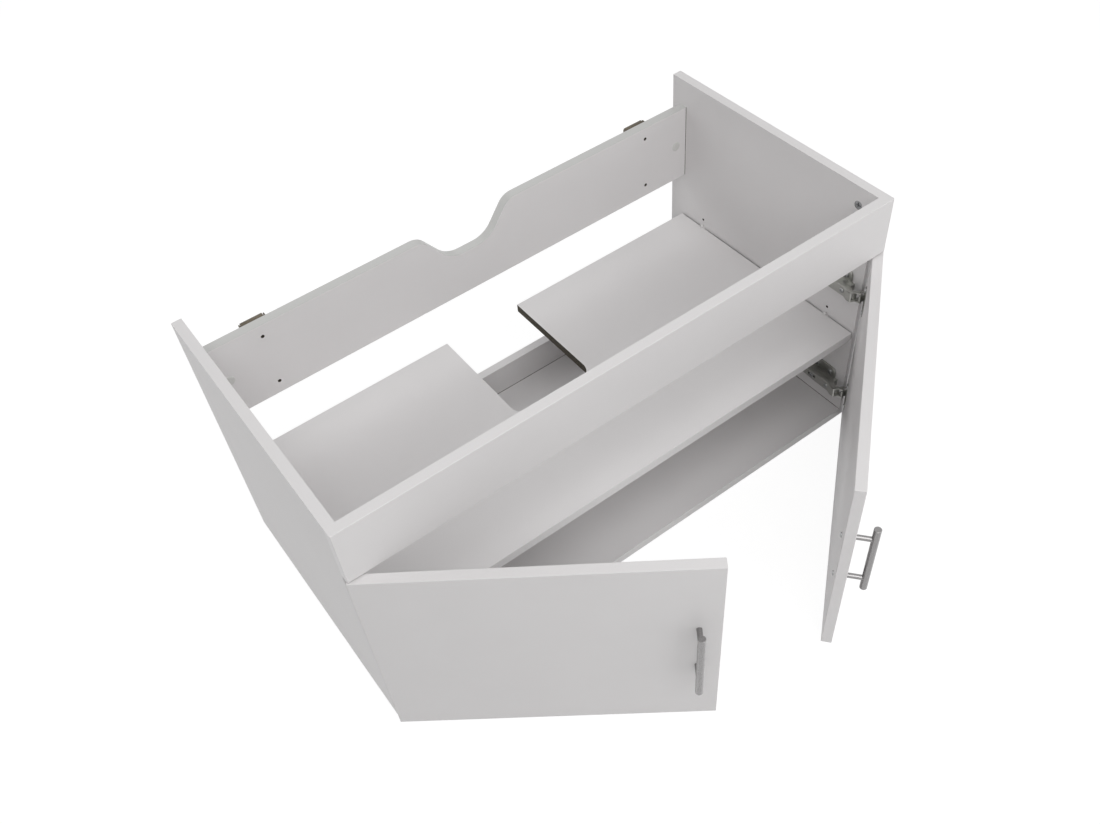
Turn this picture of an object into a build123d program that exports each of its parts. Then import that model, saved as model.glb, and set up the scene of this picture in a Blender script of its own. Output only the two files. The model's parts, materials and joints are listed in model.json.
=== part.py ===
"""A wall-hung sink base cabinet with two doors, open at the top for the basin and at the back for the pipes.

Frame: X to the right, Y to the wall, Z up. The origin is the middle of the bottom panel's underside.
All sizes are in millimetres. The doors stand open: 36 degrees on the left, 40 on the right.
"""
from build123d import *
import math
import os

os.makedirs("parts", exist_ok=True)

# ---------------------------------------------------------------- flats on small round forms
shank_sides = 6
pin_sides = 8
head_sides = 8
disc_sides = 12
cup_sides = 16

# ---------------------------------------------------------------- carcass sizes
cabinet_width = 950
cabinet_height = 483
side_depth = 460
board = 16  # thickness of every board and of both doors
front_rail_height = 100
back_rail_height = 140
back_rail_drop = 48.5  # tops of the sides down to the top of the rail
back_rail_setback = 18.5  # free space behind the rail, where the hangers lie
lower_rail_height = 60
lower_rail_setback = 14
edge_break = 0.7  # small bevel on the edges of the doors and the front rail

# ---------------------------------------------------------------- notch in the back rail
notch_top_width = 164
notch_bottom_width = 74
notch_depth = 59
notch_top_radius = 30
notch_bottom_radius = 45

# ---------------------------------------------------------------- shelf
shelf_height = 189  # underside
shelf_depth = 426
shelf_front_setback = 2
shelf_end_gap = 2
cutout_width = 148
cutout_depth = 218
cutout_radius = 25
pin_hole_diameter = 5
pin_hole_depth = 10
pin_hole_pitch = 32
pin_above_shelf_underside = 1
front_pin_setback = 62  # front edge of the side to the front row of pin holes
back_pin_setback = 88  # back edge of the side to the back row
support_width = 12
support_ledge = 12  # how far the ledge reaches under the shelf
support_ledge_drop = 8
support_nib_height = 7  # what shows above the shelf
support_nib_reach = 4  # how far the nib leans over the shelf
support_pin_length = 8

# ---------------------------------------------------------------- doors
door_reveal = 1.5  # outer side face to the door's edge
door_middle_gap = 3
door_rail_gap = 3
door_overhang = 2  # how far the doors hang below the bottom panel
door_stand_off = 1.5  # closed door to the front edges of the sides
door_opening = {"left": 36, "right": 40}  # degrees, as the doors stand

# ---------------------------------------------------------------- handles
handle_length = 145
handle_diameter = 11
handle_spacing = 96  # between the two posts
handle_height = 190  # middle of the bar
handle_edge_distance = 31  # free edge of the door to the bar's axis
handle_stand_off = 29  # door's face to the bar's axis
post_diameter = 8
handle_screw_diameter = 4
handle_screw_bite = 10  # thread inside the post
handle_screw_head = 8
handle_screw_head_height = 2.2
bar_end_chamfer = 0.6

# ---------------------------------------------------------------- knock-down fittings
cam_diameter = 15
cam_depth = 12.5
cam_recess = 0.2
cam_setback = 34  # joint face to the middle of the cam, for the front rail
rail_cam_setback = 22  # back rail
short_cam_setback = 24  # bottom panel and lower back rail
cam_channel = 7.6  # bore in the cam for the bolt's head
bolt_diameter = 7
bolt_head_diameter = 6.4
bolt_neck_diameter = 4
bolt_head_length = 3
bolt_neck_length = 5
thread_diameter = 5
thread_length = 11
dowel_diameter = 8
dowel_long_part = 20  # in the edge of one board
dowel_short_part = 10  # in the face of the other
dowel_hole_spare = 0.6
front_cam_drop = 33  # top of the front rail to its cam
dowel_pitch = 32  # cam to the dowel beside it
back_rail_dowel_offset = 45
lower_rail_dowel_offset = 18
bottom_cam_offset = 180  # from the middle of the depth
cap_diameter = 17
cap_height = 1.2

# ---------------------------------------------------------------- wall hangers
hanger_offset = 367  # middle of the cabinet to the middle of a hanger
hanger_width = 43
hanger_height = 116
hanger_sheet = 2
hanger_top_below_side = 57.3
access_hole_diameter = 6
access_hole_spacing = 96
access_hole_below_rail_top = 21.5
hook_width = 37
hook_drop = 14  # how far the hook's lip hangs down
hook_web_stand_off = 8.5  # back face of the rail to the hook's web
adjuster_diameter = 5
adjuster_head = 9
adjuster_head_height = 2.5
hanger_screw_diameter = 3.5
hanger_screw_bite = 11
hanger_screw_head = 7
hanger_screw_head_height = 1.8
hanger_screw_offset = 13
hanger_screw_spacing = 40

# ---------------------------------------------------------------- hinges
# Plan positions (a, b) with the door closed: a from the side's inner face towards the middle,
# b from the closed door's inner face towards the wall.
hinge_heights = (74, 298)
outer_arm_pivot = (20.6, 4.3)
outer_cup_pivot = (-4.5, -2.5)
inner_arm_pivot = (12.5, -7.8)
inner_cup_pivot = (-3.9, -7.3)
outer_link_rate = -0.310  # degrees turned for each degree of the door
inner_link_rate = -0.242
meeting_angle = 38  # opening at which the inner link meets its cup pivot exactly
hinge_pin_diameter = 2
pin_play = 0.05
layer_gap = 0.2  # sideways play between arm, links and cup pins
inner_link_half = 6
link_sheet = 1.4
arm_sheet = 1.5
cup_diameter = 35
cup_depth = 12.5
cup_wall = 0.75
cup_floor = 0.8
cup_middle = 8  # inward from the side's inner face, door closed
cup_fit = 0.05
cup_rim_radius = 19.2
flange_thickness = 0.8
flange_screw_offset = 24  # above and below the cup's middle
flange_screw_inward = 6
flange_ear_radius = 6.8
cup_screw_diameter = 3.5
cup_screw_bite = 10
cup_screw_head = 7.4
cup_screw_head_height = 1.6

arm_height = 20.5  # side's inner face to the arm's back
arm_reach = 80
arm_cheek_foot = 9
arm_tip_half = 7.6
arm_eye_radius = 3
arm_hook_radius = 2.3
arm_hook_bend = (14.8, 0.8)
arm_front = 10.5  # where the arm's back begins
saddle_height = 13
saddle_half = 7.4
saddle_front = 16
saddle_length = 60
wing_thickness = 3
wing_front = 21.5
wing_length = 49
wing_half = 28
wing_radius = 9
plate_screw_at = 33.5
plate_screw_offset = 16
plate_screw_diameter = 5
plate_screw_bite = 11
plate_screw_head = 9.5
plate_screw_head_height = 2.2
arm_screws_at = (24, 58)
arm_screw_diameter = 5
arm_screw_head = 8.5
arm_screw_head_height = 1.8
arm_slot_length = 16

# ---------------------------------------------------------------- places worked out from the sizes
side_inner = cabinet_width / 2 - board
side_front = -side_depth / 2
side_back = side_depth / 2
door_back = side_front - door_stand_off
door_bottom = -door_overhang
door_top = cabinet_height - front_rail_height - door_rail_gap
door_height = door_top - door_bottom
door_edge = door_reveal - board  # hinge edge, as an a position
door_width = cabinet_width / 2 - door_reveal - door_middle_gap / 2
back_rail_back = side_back - back_rail_setback
back_rail_middle = back_rail_back - board / 2
back_rail_top = cabinet_height - back_rail_drop
back_rail_bottom = back_rail_top - back_rail_height
lower_rail_back = side_back - lower_rail_setback
lower_rail_middle_height = board + lower_rail_height / 2
shelf_front = side_front + shelf_front_setback
shelf_back = shelf_front + shelf_depth
shelf_half_width = side_inner - shelf_end_gap
pin_height = shelf_height + pin_above_shelf_underside
pin_rows = (side_front + front_pin_setback, side_back - back_pin_setback)
outer_link_half = inner_link_half + layer_gap * 2 + link_sheet
arm_half = outer_link_half + layer_gap + arm_sheet
pin_radius = hinge_pin_diameter / 2
cup_outer_radius = cup_diameter / 2 - cup_fit
cup_inner_radius = cup_outer_radius - cup_wall
hands = {"left": 1, "right": -1}  # sign of the way from that side to the cabinet's middle


# ---------------------------------------------------------------- helpers
def drill(point, outward, diameter, depth):
    """Bore a round hole in the part under construction; outward points out of the material."""
    with Locations(Plane(origin=point, z_dir=outward)):
        Hole(diameter / 2, depth)


def rod(point, direction, diameter, length):
    """Add a round bar that starts at the point."""
    with BuildSketch(Plane(origin=point, z_dir=direction)) as section:
        Circle(diameter / 2)
    extrude(section.sketch, amount=length)


# Small or hidden round forms that repeat are drawn with flats, which keeps the whole model light.
def flats_plane(point, direction):
    """A plane across the direction, turned so that the flats of a hole and of its fastener line up."""
    if abs(Vector(*direction).Z) < 0.5:
        return Plane(origin=point, x_dir=(0, 0, 1), z_dir=direction)
    return Plane(origin=point, x_dir=(1, 0, 0), z_dir=direction)


def flat_drill(point, outward, diameter, depth, sides):
    """A hole with flats, for a fastener made by flat_rod."""
    with BuildSketch(flats_plane(point, outward)) as section:
        RegularPolygon(diameter / 2, sides)
    extrude(section.sketch, amount=-depth, mode=Mode.SUBTRACT)


def flat_rod(point, direction, diameter, length, sides):
    """A bar with flats that starts at the point."""
    with BuildSketch(flats_plane(point, direction)) as section:
        RegularPolygon(diameter / 2, sides)
    extrude(section.sketch, amount=length)


def capsule(start, start_radius, end, end_radius):
    """Sketch a bar with rounded ends of two sizes."""
    with Locations(start):
        RegularPolygon(start_radius, pin_sides)
    with Locations(end):
        RegularPolygon(end_radius, pin_sides)
    make_hull()


def finish(builder, name):
    """Label a finished piece and write it."""
    builder.part.label = name
    export_step(builder.part, f"parts/{name}.step")


def turned(vector, degrees):
    """A plan vector (a, b) turned as an opening door turns."""
    angle = math.radians(degrees)
    across = vector[0] * math.cos(angle) + vector[1] * math.sin(angle)
    back = vector[1] * math.cos(angle) - vector[0] * math.sin(angle)
    return (across, back)


def between(start, end):
    """The plan vector from start to end."""
    return (end[0] - start[0], end[1] - start[1])


def moved(point, vector):
    """The plan point after a shift."""
    return (point[0] + vector[0], point[1] + vector[1])


def door_point(point, opening):
    """Where a point of the closed door lies in plan once the door stands open by that many degrees."""
    link = turned(between(outer_arm_pivot, outer_cup_pivot), outer_link_rate * opening)
    arm = turned(between(outer_cup_pivot, point), opening)
    return moved(moved(outer_arm_pivot, link), arm)


def plan_plane(sign, origin, along, height):
    """Level plane at a plan point: x runs along the plan vector, y to the wall."""
    place = (sign * (origin[0] - side_inner), door_back + origin[1], height)
    x_dir = Vector(sign * along[0], along[1], 0)
    up = math.copysign(1, x_dir.X)
    return Plane(origin=place, x_dir=x_dir, z_dir=(0, 0, up))


def door_plane(hand, height):
    """Level plane of a door as it stands: x along the door from the side's face, y out of its inner face."""
    opening = door_opening[hand]
    return plan_plane(hands[hand], door_point((0, 0), opening), turned((1, 0), opening), height)


def hinge_places(hand, origin, along):
    """The same plan place at both hinges of one hand."""
    return [plan_plane(hands[hand], origin, along, height) for height in hinge_heights]


def door_hinge_places(hand):
    """The door's plane at the height of each hinge."""
    return [door_plane(hand, height) for height in hinge_heights]


class CamJoint:
    """A bolt screwed into one board and pulled by a cam lock sunk in the face of another."""

    def __init__(self, end, along, face, setback):
        self.end = Vector(*end)  # where the bolt crosses the joint
        self.along = Vector(*along)  # from the cam to the bolt's thread
        self.face = Vector(*face)  # out of the face that the cam is sunk in
        self.setback = setback
        self.cam_place = self.end - self.along * setback + self.face * (board / 2)

    def drill_edge(self):
        """Bores in the board that holds the cam."""
        flat_drill(self.cam_place, self.face, cam_diameter, cam_depth, disc_sides)
        flat_drill(self.end, self.along, bolt_diameter, self.setback, shank_sides)

    def drill_face(self):
        """Bore in the board that holds the bolt's thread."""
        flat_drill(self.end, -self.along, thread_diameter, thread_length, shank_sides)

    def add_cam(self):
        """The cam lock, with the channel for the bolt's head."""
        top = self.cam_place - self.face * cam_recess
        flat_rod(top, -self.face, cam_diameter, cam_depth - cam_recess, disc_sides)
        rim = self.end - self.along * (self.setback - cam_diameter / 2)
        flat_drill(rim, self.along, cam_channel, cam_diameter / 2 + bolt_head_length, shank_sides)

    def add_bolt(self):
        """The bolt: thread, collar, neck and the head that the cam pulls."""
        collar = self.setback - cam_diameter / 2
        flat_rod(self.end, self.along, thread_diameter, thread_length, shank_sides)
        flat_rod(self.end, -self.along, bolt_diameter, collar, shank_sides)
        neck_start = self.end - self.along * collar
        flat_rod(neck_start, -self.along, bolt_neck_diameter, bolt_neck_length, shank_sides)
        head_start = neck_start - self.along * bolt_neck_length
        flat_rod(head_start, -self.along, bolt_head_diameter, bolt_head_length, shank_sides)


class DowelJoint:
    """A wooden dowel, long part in one board's edge and short part in the other board's face."""

    def __init__(self, end, along):
        self.end = Vector(*end)
        self.along = Vector(*along)

    def drill_edge(self):
        flat_drill(self.end, self.along, dowel_diameter, dowel_long_part + dowel_hole_spare, shank_sides)

    def drill_face(self):
        flat_drill(self.end, -self.along, dowel_diameter, dowel_short_part + dowel_hole_spare, shank_sides)

    def add_dowel(self):
        start = self.end - self.along * dowel_long_part
        flat_rod(start, self.along, dowel_diameter, dowel_long_part + dowel_short_part, shank_sides)


# ---------------------------------------------------------------- where the boards are joined
front_rail_joints = {}
back_rail_joints = {}
lower_rail_joints = {}
bottom_joints = {}
for hand, sign in hands.items():
    outward = (-sign, 0, 0)
    inner_x = -sign * side_inner
    middle_x = -sign * (side_inner + board / 2)
    front_cam_z = cabinet_height - front_cam_drop
    front_rail_joints[hand] = [
        CamJoint((middle_x, side_front, front_cam_z), (0, -1, 0), (sign, 0, 0), cam_setback),
        DowelJoint((middle_x, side_front, front_cam_z - dowel_pitch), (0, -1, 0)),
    ]
    rail_z = back_rail_top - back_rail_height / 2
    back_rail_joints[hand] = [
        CamJoint((inner_x, back_rail_middle, rail_z), outward, (0, -1, 0), rail_cam_setback),
        DowelJoint((inner_x, back_rail_middle, rail_z + back_rail_dowel_offset), outward),
        DowelJoint((inner_x, back_rail_middle, rail_z - back_rail_dowel_offset), outward),
    ]
    lower_y = lower_rail_back - board / 2
    lower_z = lower_rail_middle_height
    lower_rail_joints[hand] = [
        CamJoint((inner_x, lower_y, lower_z), outward, (0, 1, 0), short_cam_setback),
        DowelJoint((inner_x, lower_y, lower_z + lower_rail_dowel_offset), outward),
        DowelJoint((inner_x, lower_y, lower_z - lower_rail_dowel_offset), outward),
    ]
    bottom_joints[hand] = []
    for way in (-1, 1):
        cam_y = way * bottom_cam_offset
        dowel_y = cam_y - way * dowel_pitch
        bottom_joints[hand] += [
            CamJoint((inner_x, cam_y, board / 2), outward, (0, 0, -1), short_cam_setback),
            DowelJoint((inner_x, dowel_y, board / 2), outward),
        ]

all_joints = []
for group in (front_rail_joints, back_rail_joints, lower_rail_joints, bottom_joints):
    for hand in hands:
        all_joints += group[hand]
cam_joints = [joint for joint in all_joints if isinstance(joint, CamJoint)]
dowel_joints = [joint for joint in all_joints if isinstance(joint, DowelJoint)]

plate_screw_places = {}
for hand, sign in hands.items():
    plate_screw_places[hand] = [
        Vector(-sign * side_inner, door_back + plate_screw_at, height + offset)
        for height in hinge_heights
        for offset in (-plate_screw_offset, plate_screw_offset)
    ]

hanger_top = cabinet_height - hanger_top_below_side
upper_access_z = back_rail_top - access_hole_below_rail_top
access_heights = (upper_access_z, upper_access_z - access_hole_spacing)
hanger_middle_z = sum(access_heights) / 2
hanger_screw_places = [
    (way * hanger_offset + turn * hanger_screw_offset, hanger_middle_z + turn * hanger_screw_spacing / 2)
    for way in (-1, 1)
    for turn in (-1, 1)
]

# ---------------------------------------------------------------- side panels
for hand, sign in hands.items():
    with BuildPart() as side_panel:
        with BuildSketch(Plane.YZ.offset(-sign * side_inner)):
            with Locations((0, cabinet_height / 2)):
                Rectangle(side_depth, cabinet_height)
        extrude(amount=-sign * board)
        for joint in front_rail_joints[hand]:
            joint.drill_edge()
        for joint in back_rail_joints[hand] + lower_rail_joints[hand] + bottom_joints[hand]:
            joint.drill_face()
        for row in pin_rows:
            pin_spot = (-sign * side_inner, row, pin_height)
            spare_spot = (-sign * side_inner, row, pin_height + pin_hole_pitch)
            flat_drill(pin_spot, (sign, 0, 0), pin_hole_diameter, pin_hole_depth, shank_sides)
            drill(spare_spot, (sign, 0, 0), pin_hole_diameter, pin_hole_depth)
        for spot in plate_screw_places[hand]:
            flat_drill(spot, (sign, 0, 0), plate_screw_diameter, plate_screw_bite, shank_sides)
    finish(side_panel, f"{hand}_side_panel")

# ---------------------------------------------------------------- rails, bottom and shelf
with BuildPart() as front_rail:
    with BuildSketch(Plane.XZ.offset(-side_front)):
        with Locations((0, cabinet_height - front_rail_height / 2)):
            Rectangle(cabinet_width, front_rail_height)
    extrude(amount=board)
    chamfer(front_rail.faces().sort_by(Axis.Y)[0].edges(), edge_break)
    for hand in hands:
        for joint in front_rail_joints[hand]:
            joint.drill_face()
finish(front_rail, "front_rail")

with BuildPart() as back_rail:
    with BuildSketch(Plane.XZ.offset(-back_rail_back)) as rail_outline:
        with Locations((0, back_rail_top - back_rail_height / 2)):
            Rectangle(2 * side_inner, back_rail_height)
        with BuildLine():
            Polyline(
                (-notch_top_width / 2, back_rail_top),
                (-notch_bottom_width / 2, back_rail_top - notch_depth),
                (notch_bottom_width / 2, back_rail_top - notch_depth),
                (notch_top_width / 2, back_rail_top),
                close=True,
            )
        make_face(mode=Mode.SUBTRACT)
        notch_floor_corners = rail_outline.vertices().group_by(Axis.Y)[1]
        fillet(notch_floor_corners, notch_bottom_radius)
        notch_top_corners = rail_outline.vertices().group_by(Axis.Y)[-1].sort_by(Axis.X)[1:-1]
        fillet(notch_top_corners, notch_top_radius)
    extrude(amount=board)
    for hand in hands:
        for joint in back_rail_joints[hand]:
            joint.drill_edge()
    for way in (-1, 1):
        for height in access_heights:
            hole_spot = (way * hanger_offset, back_rail_back, height)
            flat_drill(hole_spot, (0, 1, 0), access_hole_diameter, board, disc_sides)
    for across, height in hanger_screw_places:
        pilot_spot = (across, back_rail_back, height)
        flat_drill(pilot_spot, (0, 1, 0), hanger_screw_diameter, hanger_screw_bite, shank_sides)
finish(back_rail, "back_rail")

with BuildPart() as lower_back_rail:
    with BuildSketch(Plane.XZ.offset(-lower_rail_back)):
        with Locations((0, lower_rail_middle_height)):
            Rectangle(2 * side_inner, lower_rail_height)
    extrude(amount=board)
    for hand in hands:
        for joint in lower_rail_joints[hand]:
            joint.drill_edge()
finish(lower_back_rail, "lower_back_rail")

with BuildPart() as bottom_panel:
    with BuildSketch(Plane.XY):
        Rectangle(2 * side_inner, side_depth)
    extrude(amount=board)
    for hand in hands:
        for joint in bottom_joints[hand]:
            joint.drill_edge()
finish(bottom_panel, "bottom_panel")

with BuildPart() as shelf:
    with BuildSketch(Plane.XY.offset(shelf_height)) as shelf_outline:
        with Locations((0, shelf_front + shelf_depth / 2)):
            Rectangle(2 * shelf_half_width, shelf_depth)
        with Locations((0, shelf_back - cutout_depth / 2)):
            Rectangle(cutout_width, cutout_depth, mode=Mode.SUBTRACT)
        cutout_corners = shelf_outline.vertices().group_by(Axis.Y)[1]
        fillet(cutout_corners, cutout_radius)
    extrude(amount=board)
finish(shelf, "shelf")

with BuildPart() as shelf_supports:
    for hand, sign in hands.items():
        for row in pin_rows:
            # x from the side's face to the middle, y up from the shelf's underside
            corner = Plane(
                origin=(-sign * side_inner, row, shelf_height), x_dir=(sign, 0, 0), z_dir=(0, -sign, 0)
            )
            nib_end = shelf_end_gap + support_nib_reach
            nib_top = board + support_nib_height
            with BuildSketch(corner):
                with BuildLine():
                    Polyline(
                        (0, -support_ledge_drop),
                        (support_ledge / 2, -support_ledge_drop),
                        (support_ledge, -support_ledge_drop / 3),
                        (support_ledge, 0),
                        (shelf_end_gap, 0),
                        (shelf_end_gap, board),
                        (nib_end, board),
                    )
                    Line((nib_end, board), (nib_end, board + support_nib_height / 2))
                    ThreePointArc(
                        (nib_end, board + support_nib_height / 2),
                        (nib_end * 0.8, nib_top - support_nib_height / 6),
                        (nib_end / 2, nib_top),
                    )
                    Polyline((nib_end / 2, nib_top), (0, nib_top), (0, -support_ledge_drop))
                make_face()
            extrude(amount=support_width / 2, both=True)
            pin_spot = (-sign * side_inner, row, pin_height)
            flat_rod(pin_spot, (-sign, 0, 0), pin_hole_diameter, support_pin_length, shank_sides)
finish(shelf_supports, "shelf_supports")

# ---------------------------------------------------------------- knock-down fittings
with BuildPart() as cam_locks:
    for joint in cam_joints:
        joint.add_cam()
finish(cam_locks, "cam_locks")

with BuildPart() as cam_bolts:
    for joint in cam_joints:
        joint.add_bolt()
finish(cam_bolts, "cam_bolts")

with BuildPart() as dowels:
    for joint in dowel_joints:
        joint.add_dowel()
finish(dowels, "dowels")

with BuildPart() as cam_cover_caps:
    for hand in hands:
        cap_place = back_rail_joints[hand][0].cam_place
        with BuildSketch(Plane(origin=cap_place, z_dir=(0, -1, 0))):
            RegularPolygon(cap_diameter / 2, disc_sides)
        extrude(amount=cap_height, taper=45)
finish(cam_cover_caps, "cam_cover_caps")

# ---------------------------------------------------------------- wall hangers
hanger_flange_depth = back_rail_setback - hanger_sheet
hanger_bottom = hanger_top - hanger_height
hook_web_front = back_rail_back + hook_web_stand_off

with BuildPart() as wall_hangers:
    for way in (-1, 1):
        with BuildSketch(Plane.XY.offset(hanger_bottom)):
            with Locations((way * hanger_offset, back_rail_back + hanger_flange_depth / 2)):
                Rectangle(hanger_width, hanger_flange_depth)
            with Locations((way * hanger_offset, back_rail_back + hanger_flange_depth / 2 + hanger_sheet)):
                Rectangle(hanger_width - 2 * hanger_sheet, hanger_flange_depth, mode=Mode.SUBTRACT)
        extrude(amount=hanger_height)
        for height in access_heights:
            hole_spot = (way * hanger_offset, back_rail_back + hanger_sheet, height)
            flat_drill(hole_spot, (0, 1, 0), adjuster_diameter, hanger_sheet, shank_sides)
    for across, height in hanger_screw_places:
        hole_spot = (across, back_rail_back + hanger_sheet, height)
        flat_drill(hole_spot, (0, 1, 0), hanger_screw_diameter, hanger_sheet, shank_sides)
finish(wall_hangers, "wall_hangers")

with BuildPart() as hanger_hooks:
    for way in (-1, 1):
        side_plane = Plane.YZ.offset(way * hanger_offset)
        with BuildSketch(side_plane):
            with BuildLine():
                Polyline(
                    (hook_web_front, hanger_bottom + hanger_sheet),
                    (hook_web_front, hanger_top),
                    (side_back, hanger_top),
                    (side_back, hanger_top - hook_drop),
                    (side_back - hanger_sheet, hanger_top - hook_drop),
                    (side_back - hanger_sheet, hanger_top - hanger_sheet),
                    (hook_web_front + hanger_sheet, hanger_top - hanger_sheet),
                    (hook_web_front + hanger_sheet, hanger_bottom + hanger_sheet),
                    close=True,
                )
            make_face()
        extrude(amount=hook_width / 2, both=True)
        for height in access_heights:
            hole_spot = (way * hanger_offset, hook_web_front + hanger_sheet, height)
            flat_drill(hole_spot, (0, 1, 0), adjuster_diameter, hanger_sheet, shank_sides)
finish(hanger_hooks, "hanger_hooks")

with BuildPart() as hanger_adjusting_screws:
    for way in (-1, 1):
        for height in access_heights:
            head_spot = (way * hanger_offset, back_rail_back + hanger_sheet, height)
            flat_rod(head_spot, (0, 1, 0), adjuster_head, adjuster_head_height, head_sides)
            flat_rod(head_spot, (0, 1, 0), adjuster_diameter, hook_web_stand_off, shank_sides)
finish(hanger_adjusting_screws, "hanger_adjusting_screws")

with BuildPart() as hanger_fixing_screws:
    for across, height in hanger_screw_places:
        head_spot = (across, back_rail_back + hanger_sheet, height)
        flat_rod(head_spot, (0, 1, 0), hanger_screw_head, hanger_screw_head_height, head_sides)
        shank = hanger_sheet + hanger_screw_bite
        flat_rod(head_spot, (0, -1, 0), hanger_screw_diameter, shank, shank_sides)
finish(hanger_fixing_screws, "hanger_fixing_screws")

# ---------------------------------------------------------------- one hinge, door closed, in plan axes
# Each piece is made once about the level XY plane, alike above and below it, and placed four times.
with BuildPart() as mounting_plate:
    with BuildSketch(Plane.YZ):
        with Locations((wing_front + wing_length / 2, 0)):
            with GridLocations(wing_length - 2 * wing_radius, 2 * wing_half - 2 * wing_radius, 2, 2):
                RegularPolygon(wing_radius, disc_sides)
        make_hull()
    extrude(amount=wing_thickness)
    with BuildSketch(Plane.XY):
        with BuildLine():
            Polyline(
                (0, saddle_front),
                (saddle_height, saddle_front + wing_thickness),
                (saddle_height, saddle_front + saddle_length - wing_thickness),
                (0, saddle_front + saddle_length),
                close=True,
            )
        make_face()
    extrude(amount=saddle_half, both=True)
    for offset in (-plate_screw_offset, plate_screw_offset):
        screw_spot = (wing_thickness, plate_screw_at, offset)
        flat_drill(screw_spot, (1, 0, 0), plate_screw_diameter, wing_thickness, shank_sides)
    for along in arm_screws_at:
        screw_spot = (saddle_height, along, 0)
        bite = saddle_height - wing_thickness
        flat_drill(screw_spot, (1, 0, 0), arm_screw_diameter, bite, shank_sides)

with BuildPart() as hinge_arm:
    with BuildSketch(Plane.XY):
        with BuildLine():
            Polyline(
                (outer_arm_pivot[0] + arm_eye_radius, outer_arm_pivot[1]),
                (outer_arm_pivot[0] + arm_eye_radius, arm_front),
                (arm_height, saddle_front + wing_thickness),
                (arm_height, arm_reach),
                (arm_cheek_foot + wing_thickness, arm_reach),
                (arm_cheek_foot, arm_reach - 2 * wing_thickness),
                (arm_cheek_foot, saddle_front + wing_thickness),
                (outer_arm_pivot[0] - arm_eye_radius, outer_arm_pivot[1]),
                close=True,
            )
        make_face()
    extrude(amount=arm_half, both=True)
    for start, start_radius, end, end_radius in (
        (outer_arm_pivot, arm_eye_radius, arm_hook_bend, arm_hook_radius),
        (arm_hook_bend, arm_hook_radius, inner_arm_pivot, arm_hook_radius),
    ):
        with BuildSketch(Plane.XY):
            capsule(start, start_radius, end, end_radius)
        extrude(amount=arm_half, both=True)
    # the channel below the arm's back, and the open front between the cheeks
    with BuildSketch(Plane.XY):
        with BuildLine():
            Polyline(
                (-cup_diameter, -cup_diameter),
                (cup_diameter, -cup_diameter),
                (cup_diameter, arm_front),
                (outer_arm_pivot[0] + arm_eye_radius - arm_sheet, arm_front),
                (arm_height - arm_sheet, saddle_front + wing_thickness),
                (arm_height - arm_sheet, arm_reach + arm_sheet),
                (-cup_diameter, arm_reach + arm_sheet),
                close=True,
            )
        make_face()
    extrude(amount=arm_half - arm_sheet, both=True, mode=Mode.SUBTRACT)
    # the arm narrows towards its tip
    with BuildSketch(Plane.YZ):
        with BuildLine():
            Polyline(
                (-cup_diameter, -arm_half),
                (arm_reach - cup_diameter, -arm_half),
                (arm_reach, -arm_tip_half),
                (arm_reach, arm_tip_half),
                (arm_reach - cup_diameter, arm_half),
                (-cup_diameter, arm_half),
                close=True,
            )
        make_face()
    extrude(amount=cup_diameter, mode=Mode.INTERSECT)
    with BuildSketch(Plane.YZ):
        with Locations((arm_screws_at[1], 0)):
            Rectangle(arm_slot_length, arm_screw_diameter)
    extrude(amount=cup_diameter, mode=Mode.SUBTRACT)
    flat_drill((arm_height, arm_screws_at[0], 0), (1, 0, 0), arm_screw_diameter, arm_sheet, shank_sides)
    with BuildSketch(Plane.XY):
        with Locations(outer_arm_pivot, inner_arm_pivot):
            RegularPolygon(pin_radius, pin_sides)
    extrude(amount=arm_half, both=True, mode=Mode.SUBTRACT)

with BuildPart() as arm_pins:
    with BuildSketch(Plane.XY):
        with Locations(outer_arm_pivot, inner_arm_pivot):
            RegularPolygon(pin_radius, pin_sides)
    extrude(amount=arm_half + layer_gap, both=True)

with BuildPart() as arm_screws:
    for along in arm_screws_at:
        seat = (arm_height, along, 0)
        flat_rod(seat, (1, 0, 0), arm_screw_head, arm_screw_head_height, head_sides)
        flat_rod(seat, (-1, 0, 0), arm_screw_diameter, arm_height - wing_thickness, shank_sides)

# Outer link: x from its arm pivot to its cup pivot, y to the wall.
outer_link_length = math.dist(outer_arm_pivot, outer_cup_pivot)
outer_eye_radius = 2.6
outer_cup_eye_radius = 1.9
outer_waist = (16.5, 0.4)  # high enough to pass the inner link's pin when the door is wide open
outer_waist_radius = 1.6
outer_neck = (22.4, -3.4)  # cranked, so that the cup's rim passes it when the door is wide open
outer_neck_radius = 1.6
outer_web_start = 3
outer_web_end = 10
outer_web_foot = 1

with BuildPart() as outer_link:
    stations = (
        ((0, 0), outer_eye_radius),
        (outer_waist, outer_waist_radius),
        (outer_neck, outer_neck_radius),
        ((outer_link_length, 0), outer_cup_eye_radius),
    )
    for (start, start_radius), (end, end_radius) in zip(stations, stations[1:]):
        with BuildSketch(Plane.XY):
            capsule(start, start_radius, end, end_radius)
        extrude(amount=outer_link_half, both=True)
    with BuildSketch(Plane.XY):
        Rectangle(4 * outer_link_length, 4 * outer_link_length)
        with Locations(((outer_web_start + outer_web_end) / 2, outer_web_foot + outer_eye_radius / 2)):
            Rectangle(outer_web_end - outer_web_start, outer_eye_radius, mode=Mode.SUBTRACT)
    extrude(amount=outer_link_half - link_sheet, both=True, mode=Mode.SUBTRACT)
    with BuildSketch(Plane.XY):
        with Locations((0, 0), (outer_link_length, 0)):
            RegularPolygon(pin_radius + pin_play, pin_sides, major_radius=False)
    extrude(amount=outer_link_half, both=True, mode=Mode.SUBTRACT)

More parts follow.
